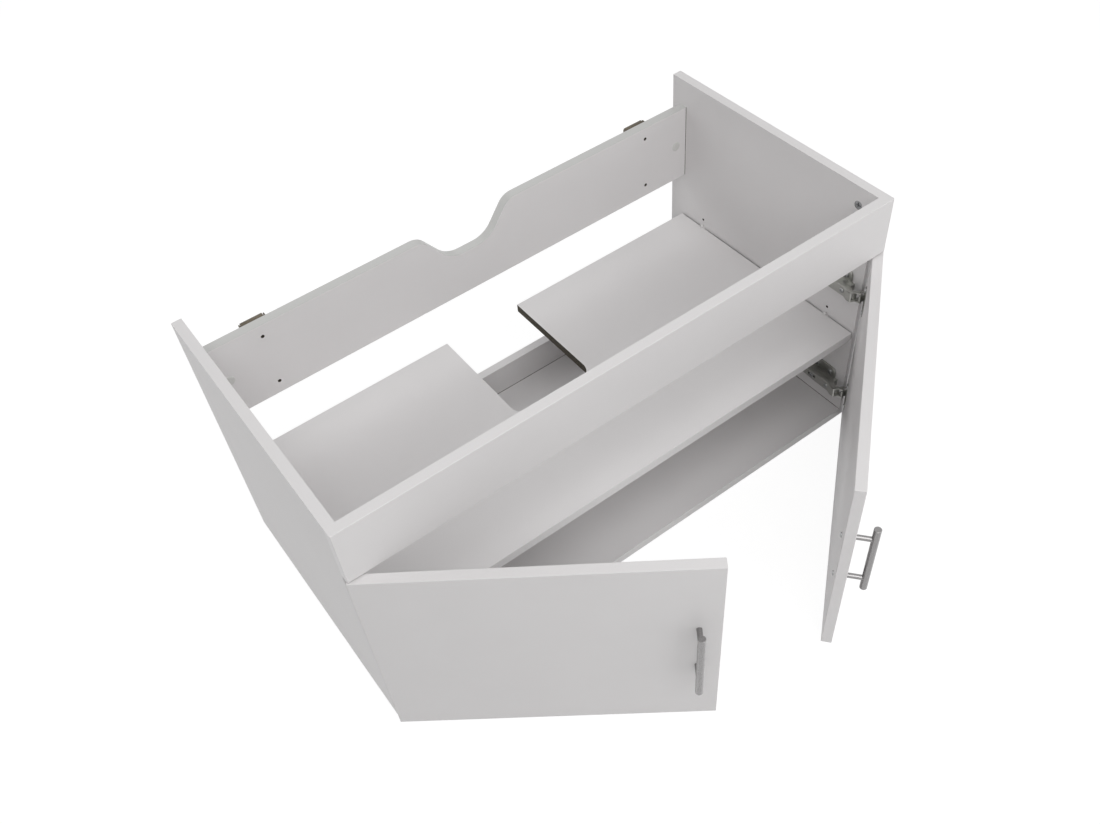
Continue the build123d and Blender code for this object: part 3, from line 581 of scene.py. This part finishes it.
def show_piece(name, shape, stands_for=None, body="carcass", finish=None, slot="white_board"):
    """Turn a shape into a piece on its body, standing for a node where one is named."""
    mesh = bpy.data.meshes.new(name)
    shape.to_mesh(mesh)
    shape.free()
    mesh.polygons.foreach_set("use_smooth", [True] * len(mesh.polygons))
    mesh.set_sharp_from_angle(angle=math.radians(34))  # rounded edges stay smooth, corners crisp
    piece = bpy.data.objects.new(name, mesh)
    bpy.context.scene.collection.objects.link(piece)
    if stands_for:
        body, slot = nodes[stands_for]["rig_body"], slot_of_node[stands_for]
        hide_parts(stands_for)
    mesh.materials.append(finish or finish_of_slot[slot])
    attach(piece, body)
    print("piece", name, "on", body, "with", len(mesh.polygons), "faces")


# %% [markdown]
# ## Cross-recess screws
# Every screw here has a pan head with a cross recess for the fitter's driver: a flat crown, a
# rolled edge, and a cross whose walls lean in as it goes down. A boolean could cut the cross.
# Drawing its twelve corners and filling the crown round them gives cleaner faces, and the same code
# serves all six sizes.


# %% Screws
def cross(shape, reach, width, height):
    """The twelve corners of a cross."""
    half = width / 2
    quarter = [(reach, -half), (reach, half), (half, half)]
    turns = ((1, 0), (0, 1), (-1, 0), (0, -1))
    corners = [(x * c - y * s, x * s + y * c) for c, s in turns for x, y in quarter]
    return [shape.verts.new((x, y, height)) for x, y in corners]


def cut_cross(shape, crown, reach, width, depth):
    """Fill a round crown with a cross sunk in it, whose floor is a smaller cross."""
    height = crown[0].co.z
    mouth = cross(shape, reach, width, height)
    fill_between(shape, crown, mouth)
    floor_loop = cross(shape, reach * 0.72, width * 0.8, height - depth)
    join(shape, (mouth, floor_loop))
    shape.faces.new(floor_loop)


pan_head = [(0.66, 0), (0.86, 0.1), (0.97, 0.38), (1, 0.7), (1, 1)]  # shares of radius and height
tip_share = 0.35  # of the shank's radius


def screw(radius, head, shank, length):
    """A screw whose crown lies at zero and whose point is a length below it."""
    made = bmesh.new()
    profile = [(wide * radius, -deep * head) for wide, deep in pan_head]
    profile += [(shank, -head), (shank, shank - length), (tip_share * shank, -length)]
    rings = stack(made, profile)
    made.faces.new(rings[-1])
    cut_cross(made, rings[0], reach=0.52 * radius, width=0.2 * radius, depth=0.75 * head)
    return made


wing_sink = 0.9 * mm  # the plate screws' heads reach down into the wing's sunk field
next_in_wing = Vector((0, 29 * mm, 0))  # from a wing's first screw to its second
screw_nodes = [name for name in nodes if name.endswith("_screws")]
for name in screw_nodes:
    shape = bmesh.new()
    for solid in solids_of(name):
        spot, way, radius, steps, shank = seat_of(solid)
        head, length = steps[1], steps[-1]
        spots = [spot]
        if name == "plate_screws":
            head += wing_sink
            spots = [spot + next_in_wing, spot]
        for seat in spots:
            gather(shape, screw(radius, head, shank, length), facing(seat, way))
    # The adjusting screws are near black, which is painted shade in their holes.
    finish = adjuster_steel_painted_shade if name == "hanger_adjusting_screws" else None
    show_piece(f"cross_recess_{name}", shape, stands_for=name, finish=finish)

# %% [markdown]
# ## Cam locks
# A cam lock is a die-cast disc, turned with a driver to pull the bolt in. Its face lies a hair
# below the board, with a dark gap round it and a cross slot. Below the face it is hollow, where its
# spiral grips the bolt. The two ends of the plain disc are alike, so the one nearer to the board's
# skin is the face.

# %% Cams
fixed_boards = [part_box(name) for name in boards if not name.endswith("_door")]


def inside_a_board(point):
    """Whether a point lies in the box of a board of the carcass."""
    return any(all(low[i] < point[i] < high[i] for i in range(3)) for low, high in fixed_boards)


disc_share = 0.955  # of the bore's radius; the rest is the dark gap
cam_wall = 1.2 * mm
cam_hollow = 3.4 * mm  # how far below its face the disc is hollow
slot_depth = 2.4 * mm
shape = bmesh.new()
for solid in solids_of("cam_locks"):
    spot, way, radius, steps, _ = seat_of(solid)
    depth = steps[-1]
    if inside_a_board(spot + way * mm):
        spot, way = spot - way * depth, -way
    made = bmesh.new()
    rim = radius * disc_share
    profile = [(rim - 0.9 * mm, 0), (rim - 0.2 * mm, -0.2 * mm), (rim, -0.5 * mm), (rim, -depth)]
    profile += [(rim - cam_wall, -depth), (rim - cam_wall, -cam_hollow)]
    rings = stack(made, profile)
    made.faces.new(rings[-1])
    cut_cross(made, rings[0], reach=0.62 * radius, width=0.24 * radius, depth=slot_depth)
    gather(shape, made, facing(spot, way))
show_piece("slotted_cam_locks", shape, stands_for="cam_locks")

# %% [markdown]
# ## Cam covers
# Two thin covers hide the cams of the back rail: shallow domes that stand a millimetre proud, with
# a rounded rim. The plain solid's largest face is the one that lies on the rail, so the dome grows
# the other way.

# %% Covers
dome = [(1, 0), (1, 0.25), (0.95, 0.6), (0.82, 0.86), (0.5, 0.98), (0.12, 1)]  # of radius and rise
shape = bmesh.new()
for solid in solids_of("cam_cover_caps"):
    spot, way, radius, steps, _ = seat_of(solid)
    rise = steps[-1]
    made = bmesh.new()
    close_ends(made, stack(made, [(wide * radius, high * rise) for wide, high in dome]))
    gather(shape, made, facing(spot, -way))
show_piece("domed_cam_covers", shape, stands_for="cam_cover_caps", finish=cover_plastic_painted_shade)

# %% [markdown]
# ## Hinge pins
# The links turn on pins. The arms' pins are riveted over at both ends, into small domes wider than
# the pin, and the cups' pins are only chamfered. All of them stand upright, so their ends are
# simply their highest and lowest points.

# %% Pins
riveted_end = [(0.5, 1), (1.275, 0.93), (1.5, 0.86), (1, 0.84)]  # of radius and half length
chamfered_end = [(0.6, 1), (1, 0.95)]
for name in [name for name in nodes if name.endswith("_pins")]:
    shape = bmesh.new()
    for points, _ in solids_of(name):
        middle = middle_of(points)
        half = max(point.z for point in points) - middle.z
        radius = max((point - middle).xy.length for point in points)
        end = riveted_end if "arm" in name else chamfered_end
        profile = [(radius * wide, half * high) for wide, high in end]
        profile += [(wide, -high) for wide, high in reversed(profile)]
        made = bmesh.new()
        close_ends(made, stack(made, profile))
        gather(shape, made, Matrix.Translation(middle))
    show_piece(f"riveted_{name}", shape, stands_for=name, finish=hinge_steel)

# %% [markdown]
# ## Pressed pieces with soft edges
# No pressed sheet has knife edges: the press leaves a radius of a few tenths, and it is that radius
# which catches the light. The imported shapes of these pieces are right, so each is copied, its flat
# facets are joined up, and a bevel modifier rounds its sharp edges. The modifier is then applied,
# because the piece must be a plain mesh for export.


# %% Softened copies
def softened(name, radius):
    """A piece that is a copy of a node with rounded edges."""
    shape = bmesh.new()
    shape.from_mesh(nodes[name].data)
    bmesh.ops.remove_doubles(shape, verts=shape.verts, dist=weld)
    flat = math.radians(1)
    bmesh.ops.dissolve_limit(shape, angle_limit=flat, verts=shape.verts, edges=shape.edges)
    mesh = bpy.data.meshes.new("plain_" + name)
    shape.to_mesh(mesh)
    shape.free()
    plain = bpy.data.objects.new("plain_" + name, mesh)
    bpy.context.scene.collection.objects.link(plain)
    bevel = plain.modifiers.new("soft_edges", "BEVEL")
    bevel.width = radius
    bevel.segments = 2
    bevel.limit_method = "ANGLE"
    bevel.angle_limit = math.radians(32)
    bevel.use_clamp_overlap = True
    applied = plain.evaluated_get(bpy.context.evaluated_depsgraph_get())
    rounded = bpy.data.meshes.new_from_object(applied)
    bpy.data.objects.remove(plain)
    shape = bmesh.new()
    shape.from_mesh(rounded)
    show_piece(f"soft_edged_{name}", shape, stands_for=name)


for name in nodes:
    if name.endswith(("_hinge_arms", "_outer_links", "_inner_links")):
        softened(name, 0.35 * mm)
for name in ("wall_hangers", "hanger_hooks"):
    softened(name, 0.3 * mm)

# %% [markdown]
# ## Hoods over the arms' tips
# The arm's back runs on in one curve round its first pin, so from the front the tip looks closed
# and only the links come out of it. The plain arm ends in two open cheeks there. A narrow strip of
# sheet closes it: straight on from the back's end, then round the pin outside the link's eye. It
# rides with the arm.


# %% Hoods
def strip_round(shape, points, thick, half_width, place):
    """A bent strip: plan points of its outer face, its thickness inward, half its width in height,
    and the function that sets (plan, plan, height) down in the frame."""
    loops = []
    for step, (a, b) in enumerate(points):
        before, after = points[max(step - 1, 0)], points[min(step + 1, len(points) - 1)]
        run = Vector((after[0] - before[0], after[1] - before[1])).normalized()
        inner = (a + run.y * thick, b - run.x * thick)
        plan = [(a, b, -1), (a, b, 1), (*inner, 1), (*inner, -1)]
        loops.append([shape.verts.new(place(x, y, end * half_width)) for x, y, end in plan])
    join(shape, loops)
    close_ends(shape, loops)


pin_bend = 3.05 * mm  # from the first pin's middle to the hood's outer face
bend_angles = (-12, -24, -36, -48)  # round the pin, from the way that the back looks
hood_sheet = 0.4 * mm
hood_overlap = 0.4 * mm  # how far the strip starts behind the edge of the cheeks
edge_play = 0.1 * mm
same_hinge = 5 * mm  # a pin nearer in height than this belongs to the arm
on_back = 0.1 * mm  # a point this near to the back's level lies in it
for hand in ("left", "right"):
    inward = 1 if hand == "left" else -1
    arm_pins = [middle_of(pin[0]) for pin in solids_of(f"{hand}_arm_pins")]
    shape = bmesh.new()
    for points, _ in solids_of(f"{hand}_hinge_arms"):
        middle = middle_of(points)
        back = max(point.x * inward for point in points)
        own_pins = [pin for pin in arm_pins if abs(pin.z - middle.z) < same_hinge]
        pin = max(own_pins, key=lambda spot: spot.x * inward)
        ahead = [point.y for point in points if abs(point.x * inward - back) < on_back]
        curve = [(back, max(ahead) + hood_overlap), (back, pin.y)]
        for angle in bend_angles:
            turn = math.radians(angle)
            out, on = pin_bend * math.cos(turn), pin_bend * math.sin(turn)
            curve.append((pin.x * inward + out, pin.y + on))
        half = max(point.z for point in points) - middle.z

        def place(a, b, up):
            return Vector((a * inward, b, middle.z + up))

        strip_round(shape, curve, hood_sheet, half - edge_play, place)
    bmesh.ops.recalc_face_normals(shape, faces=shape.faces)
    show_piece(f"{hand}_arm_hoods", shape, finish=hinge_steel, slot="hinge_steel")

# %% [markdown]
# ## Shelf supports
# Each support is a small white moulding: a pin in the side panel, a ledge under the shelf, a thin
# wall in the gap at the shelf's end, and a rounded nib that keeps the shelf from tipping up. From
# above only the wall's top and the nib show, flush and small. The plain one's nib is a full-width
# block, so the support is drawn again inside it: rounded boxes and a pin.


# %% Supports
def soft_box(low, high, radius):
    """A box between two corners whose edges are rounded."""
    made = bmesh.new()
    bmesh.ops.create_cube(made, size=1)
    for vertex in made.verts:
        for axis in range(3):
            vertex.co[axis] = high[axis] if vertex.co[axis] > 0 else low[axis]
    rounding = {"offset": radius, "offset_type": "OFFSET", "segments": 3, "profile": 0.5}
    bmesh.ops.bevel(made, geom=made.edges, affect="EDGES", **rounding)
    return made


shelf_low, shelf_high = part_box("shelf")
under, over = shelf_low.z, shelf_high.z
gap_share = 0.96  # of the gap at the shelf's end, which the wall between them fills
pin_profile = [(2.45 * mm, 0), (2.45 * mm, 7.4 * mm), (1.9 * mm, 8 * mm)]
pin_root = 0.5 * mm  # how far the pin starts inside the wall
clear_of_wall = 1 * mm  # points deeper in the panel than this are the pin's
shape = bmesh.new()
for points, _ in solids_of("shelf_supports"):
    low, high = box_of(points)
    middle = middle_of(points)
    inward = 1 if middle.x < 0 else -1
    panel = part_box("left_side_panel")[1].x if inward > 0 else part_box("right_side_panel")[0].x
    row = middle.y
    half = (high.y - low.y) / 2
    placing = Matrix.Translation((panel, row, 0)) @ Matrix.Diagonal((inward, 1, 1, 1))
    wall = (abs(panel) - shelf_high.x) * gap_share
    boxes = [  # lower corner, upper corner and rounding, out from the panel
        ((0, -half, under - 7.9 * mm), (wall, half, over + 0.4 * mm), 0.4 * mm),  # wall in the gap
        ((0, -half, under - 3 * mm), (11.8 * mm, half, under - 0.05 * mm), 0.8 * mm),  # ledge
        ((0, -1.2 * mm, under - 7.6 * mm), (9 * mm, 1.2 * mm, under - 2 * mm), 0.5 * mm),  # rib
        ((0, -2.4 * mm, over - 0.5 * mm), (5.4 * mm, 2.4 * mm, over + 5.2 * mm), 1.6 * mm),  # nib
    ]
    for lower, upper, radius in boxes:
        gather(shape, soft_box(lower, upper, radius), placing)
    in_panel = [point for point in points if point.x * inward < panel * inward - clear_of_wall]
    made = bmesh.new()
    close_ends(made, stack(made, pin_profile))
    root = Vector((panel + inward * pin_root, row, middle_of(in_panel).z))
    gather(shape, made, facing(root, Vector((-inward, 0, 0))))
show_piece("moulded_shelf_supports", shape, stands_for="shelf_supports")

# %% [markdown]
# ## Mounting plates
# Each hinge arm sits on a plate screwed to the side panel: a narrow saddle under the arm, and a
# wing above and below with a raised rim round a sunk field that holds two screws. The plain plate
# has flat wings. Here the wing is a rounded rectangle stepped through a few heights and insets,
# which draws the rim, and the saddle is a second one that narrows upwards.


# %% Plates
def rounded_loop(shape, length, height, radius, inset, level, steps=6):
    """A rounded rectangle drawn in by an inset, at a level out from the wall."""
    corner = max(radius - inset, 0.3 * mm)
    loop = []
    for quarter, (across, up) in enumerate(((1, 1), (-1, 1), (-1, -1), (1, -1))):
        for step in range(steps + 1):
            angle = math.pi / 2 * (quarter + step / steps)
            y = across * (length / 2 - inset - corner) + corner * math.cos(angle)
            z = up * (height / 2 - inset - corner) + corner * math.sin(angle)
            loop.append(shape.verts.new((level, y, z)))
    return loop


def stepped(length, height, radius, steps):
    """A closed form from one rounded rectangle drawn at (inset, level) steps in millimetres."""
    made = bmesh.new()
    loops = [
        rounded_loop(made, length, height, radius, inset * mm, level * mm)
        for inset, level in steps
    ]
    join(made, loops)
    close_ends(made, loops)
    return made


wing_steps = [(0, 0), (0, 2.4), (0.5, 3), (1.9, 3), (2.4, 2.1), (2.8, 2.1)]
wing_corner = 9 * mm
saddle_steps = [(0, 0), (0.4, 11.8), (0.9, 12.7), (1.4, 13)]
saddle_corner = 1 * mm
saddle_height = 14.8 * mm
beyond_saddle = 9 * mm  # points farther from the middle than this belong to the wings
shape = bmesh.new()
for points, _ in solids_of("hinge_mounting_plates"):
    low, high = box_of(points)
    middle = middle_of(points)
    inward = 1 if middle.x < 0 else -1
    wall = low.x if inward > 0 else high.x
    on_wings = [point for point in points if abs(point.z - middle.z) > beyond_saddle]
    wing_low, wing_high = box_of(on_wings)
    wing_length, wing_height = wing_high.y - wing_low.y, wing_high.z - wing_low.z
    saddle_length = high.y - low.y
    placing = Matrix.Translation((wall, middle.y, middle.z)) @ Matrix.Diagonal((inward, 1, 1, 1))
    gather(shape, stepped(wing_length, wing_height, wing_corner, wing_steps), placing)
    gather(shape, stepped(saddle_length, saddle_height, saddle_corner, saddle_steps), placing)
sizes = [round(size / mm, 1) for size in (wing_length, wing_height, saddle_length)]
print("wings' length and height, and the saddle's length, in mm:", sizes)
show_piece("stepped_hinge_mounting_plates", shape, stands_for="hinge_mounting_plates")

# %% [markdown]
# ## Hinge cups
# The cup is drawn from one disc of steel: a round pot 35 mm wide sunk in the door, with a rolled
# lip and a flange whose two ears take the screws. The flange's outline is a thread pulled tight
# round three circles, which is a convex hull. The pot's rings go on inside and below it, so the
# whole cup is one closed skin.


# %% Cups
flange = 0.8 * mm
flange_rim = 19.2 * mm  # radius of the flange round the pot
ear = 6.8 * mm  # radius of an ear
ear_in, ear_up = 6 * mm, 24 * mm  # from the pot's middle to an ear's screw
pot_radius = 17.45 * mm
pot_wall = 0.75 * mm
pot_floor = 0.8 * mm
flange_circles = [(0, 0, flange_rim), (ear_in, ear_up, ear), (ear_in, -ear_up, ear)]


def hull_loop(shape, circles, inset, height, sides=48):
    """The corners of a thread pulled tight round circles given as (x, y, radius)."""
    loop = []
    for step in range(sides):
        angle = 2 * math.pi * step / sides
        way = Vector((math.cos(angle), math.sin(angle)))
        x, y, radius = max(circles, key=lambda circle: Vector(circle[:2]).dot(way) + circle[2])
        reach = radius - inset
        loop.append(shape.verts.new((x + reach * way.x, y + reach * way.y, height)))
    return loop


def cup(depth):
    """A cup of a depth. Its x runs along the door from the hinge edge, y up, z out of the door."""
    made = bmesh.new()
    steps = [(0, 0), (0, 0.6 * flange), (0.4 * flange, flange)]
    loops = [hull_loop(made, flange_circles, inset, height) for inset, height in steps]
    join(made, loops)
    inner = pot_radius - pot_wall
    floor = pot_floor - depth
    pot = [(inner + 0.8 * mm, flange), (inner + 0.3 * mm, 0.8 * flange), (inner, 0)]
    pot += [(inner, floor + mm), (inner - 0.3 * mm, floor + 0.3 * mm), (inner - mm, floor)]
    inside = stack(made, pot)
    made.faces.new(inside[-1])
    outside = stack(made, [(pot_radius, 0), (pot_radius, -depth + mm), (pot_radius - mm, -depth)])
    made.faces.new(outside[-1])
    fill_between(made, loops[-1], inside[0])
    fill_between(made, loops[0], outside[0])
    return made


upright = Vector((0, 0, 1))
for hand in ("left", "right"):
    door = solids_of(f"{hand}_door")[0]
    out = -seat_of(door)[1]
    shape = bmesh.new()
    for points, _ in solids_of(f"{hand}_hinge_cups"):
        middle = middle_of(points)
        towards = middle_of(door[0]) - middle
        along = upright.cross(out).normalized()
        along = along if along.dot(towards) > 0 else -along
        heights = [point.dot(out) for point in points]
        top = max(heights)
        depth = top - min(heights) - flange
        spans = [point.dot(along) for point in points]
        across = along * (min(spans) + max(spans)) / 2
        spot = across + out * (top - flange) + Vector((0, 0, middle.z))
        placing = Matrix.Identity(4)
        for column, axis in enumerate((along, upright, out, spot)):
            placing.col[column].xyz = axis
        gather(shape, cup(depth), placing)
    print(hand, "cup depth", round(depth / mm, 2), "mm")
    show_piece(f"drawn_{hand}_hinge_cups", shape, stands_for=f"{hand}_hinge_cups", finish=cup_steel_painted_shade)

# %% [markdown]
# ## Joint lines
# Where a board's end butts against another board it isn't banded, and a dark hairline shows along
# the joint: partly the bare core, mostly the shade in the joint's gap. A strip of bare core with a
# three-sided section, 0.6 mm wide, lies in the corner, so its darkness is partly painted shade, and
# it shows from every side.


# %% Bare core strips, partly painted shade, in the joints
def joint_line(shape, start, end, first_leg, second_leg):
    """A three-sided strip from start to end, with two legs out from the corner."""
    ends = []
    for spot in (start, end):
        legs = (Vector(), Vector(first_leg), Vector(second_leg))
        ends.append([shape.verts.new(Vector(spot) + leg) for leg in legs])
    join(shape, ends)
    close_ends(shape, ends)


line_width = 0.6 * mm
rail_low, rail_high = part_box("back_rail")
lower_low, lower_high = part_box("lower_back_rail")
floor_low, floor_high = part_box("bottom_panel")
shape = bmesh.new()
for sign, edge in ((1, rail_low.x), (-1, rail_high.x)):
    across, forward, upward = (sign * line_width, 0, 0), (0, -line_width, 0), (0, 0, line_width)
    for low, high in ((rail_low, rail_high), (lower_low, lower_high)):
        joint_line(shape, (edge, low.y, low.z), (edge, low.y, high.z), across, forward)
    end = lower_low.y - line_width
    start, end = (edge, floor_low.y, floor_high.z), (edge, end, floor_high.z)
    joint_line(shape, start, end, across, upward)
first, last = lower_low.x + line_width, lower_high.x - line_width
start, end = (first, lower_low.y, floor_high.z), (last, lower_low.y, floor_high.z)
joint_line(shape, start, end, forward, upward)
bmesh.ops.recalc_face_normals(shape, faces=shape.faces)
# These dark strips are partly bare core and partly painted shade in the joints.
show_piece("joint_lines_core_and_painted_shade", shape, finish=board_core)

# %% [markdown]
# ## White paper floor
# Goods like this are photographed on white paper that runs up behind them. To the camera, and in
# reflections, most of the paper's white is its own, so it stays white all over while a faint matt
# part still takes the cabinet's shadow. To the boards it is light matt paper with hardly any glow,
# which throws the lamps' light up at them.

# %% Floor
half_floor = 6.0
floor_gap = 0.4 * mm
floor_level = cad_box[0][2] - floor_gap
turns = ((-1, -1), (1, -1), (1, 1), (-1, 1))
corners = [(x * half_floor, y * half_floor, floor_level) for x, y in turns]
floor_mesh = bpy.data.meshes.new("floor")
floor_mesh.from_pydata(corners, [], [(0, 1, 2, 3)])
floor = bpy.data.objects.new("floor", floor_mesh)
bpy.context.scene.collection.objects.link(floor)


def white_rays(tree):
    """One for rays of the camera, in reflections and through glass, else nothing."""
    rays = add(tree, "LightPath").outputs
    seen = add(tree, "Math", {0: rays["Is Camera Ray"], 1: rays["Is Glossy Ray"]}, operation="ADD")
    sockets = {0: seen.outputs[0], 1: rays["Is Transmission Ray"]}
    return add(tree, "Math", sockets, operation="ADD", use_clamp=True).outputs[0]


paper, tree, _ = new_finish("white_paper_floor")
matt = add(tree, "BsdfDiffuse", {"Color": linear("#D8D8D8")})
bounce = add(tree, "Emission", {"Color": linear("#FFFFFF"), "Strength": 0.02})
lit = add(tree, "AddShader", {0: matt.outputs[0], 1: bounce.outputs[0]}).outputs[0]
faint = add(tree, "BsdfDiffuse", {"Color": linear("#6A6A6A")})
own = add(tree, "Emission", {"Color": linear("#FFFFFF"), "Strength": 0.92})
shown = add(tree, "AddShader", {0: faint.outputs[0], 1: own.outputs[0]}).outputs[0]
output(tree, add(tree, "MixShader", {0: white_rays(tree), 1: lit, 2: shown}))
floor_mesh.materials.append(paper)
print("floor at", round(floor_level, 4), "m")

# %% [markdown]
# ## World and lamps
# The room behind the paper is white to the camera and in reflections, and sends about a third of
# that to the boards. Five soft lamps do the rest: one high in front, a weak one low in front that
# reaches under the rail, one at the front right and two behind. Their powers were fitted to the
# photograph's tones at about forty places on the boards, and seven lamps came only a tenth of a grey
# level nearer than these five, which isn't worth two more lamps.

# %% World and lamps
world = bpy.data.worlds.new("white_room")
bpy.context.scene.world = world
world.use_nodes = True
tree = world.node_tree
tree.nodes.clear()
white = linear("#FFFFFF")
around = add(tree, "Background", {"Color": white, "Strength": 0.32}).outputs[0]
backdrop = add(tree, "Background", {"Color": white, "Strength": 1.0}).outputs[0]
room = add(tree, "MixShader", {0: white_rays(tree), 1: around, 2: backdrop})
add(tree, "OutputWorld", {"Surface": room.outputs[0]})


cabinet_middle = Vector((0, 0, 0.2))


def softbox(name, spot, size, power):
    """A square lamp, its size in metres and its power in watts, aimed at the cabinet's middle."""
    data = bpy.data.lights.new(name, "AREA")
    data.shape = "SQUARE"
    data.size = size
    data.energy = power
    lamp = bpy.data.objects.new(name, data)
    lamp.location = spot
    aim = cabinet_middle - Vector(spot)
    lamp.rotation_euler = aim.to_track_quat("-Z", "Y").to_euler()
    bpy.context.scene.collection.objects.link(lamp)


softbox("high_front_softbox", (-0.4, -1.6, 2.4), 2.2, 38)
softbox("low_front_softbox", (0.5, -2.4, 0.45), 1.6, 7)
softbox("front_right_softbox", (1.9, -1.0, 1.6), 1.8, 8)
softbox("back_left_softbox", (-1.7, 1.7, 1.3), 1.8, 10)
softbox("back_softbox", (0.6, 2.2, 1.6), 1.8, 8)
print("lamps:", [light.name for light in bpy.data.lights])
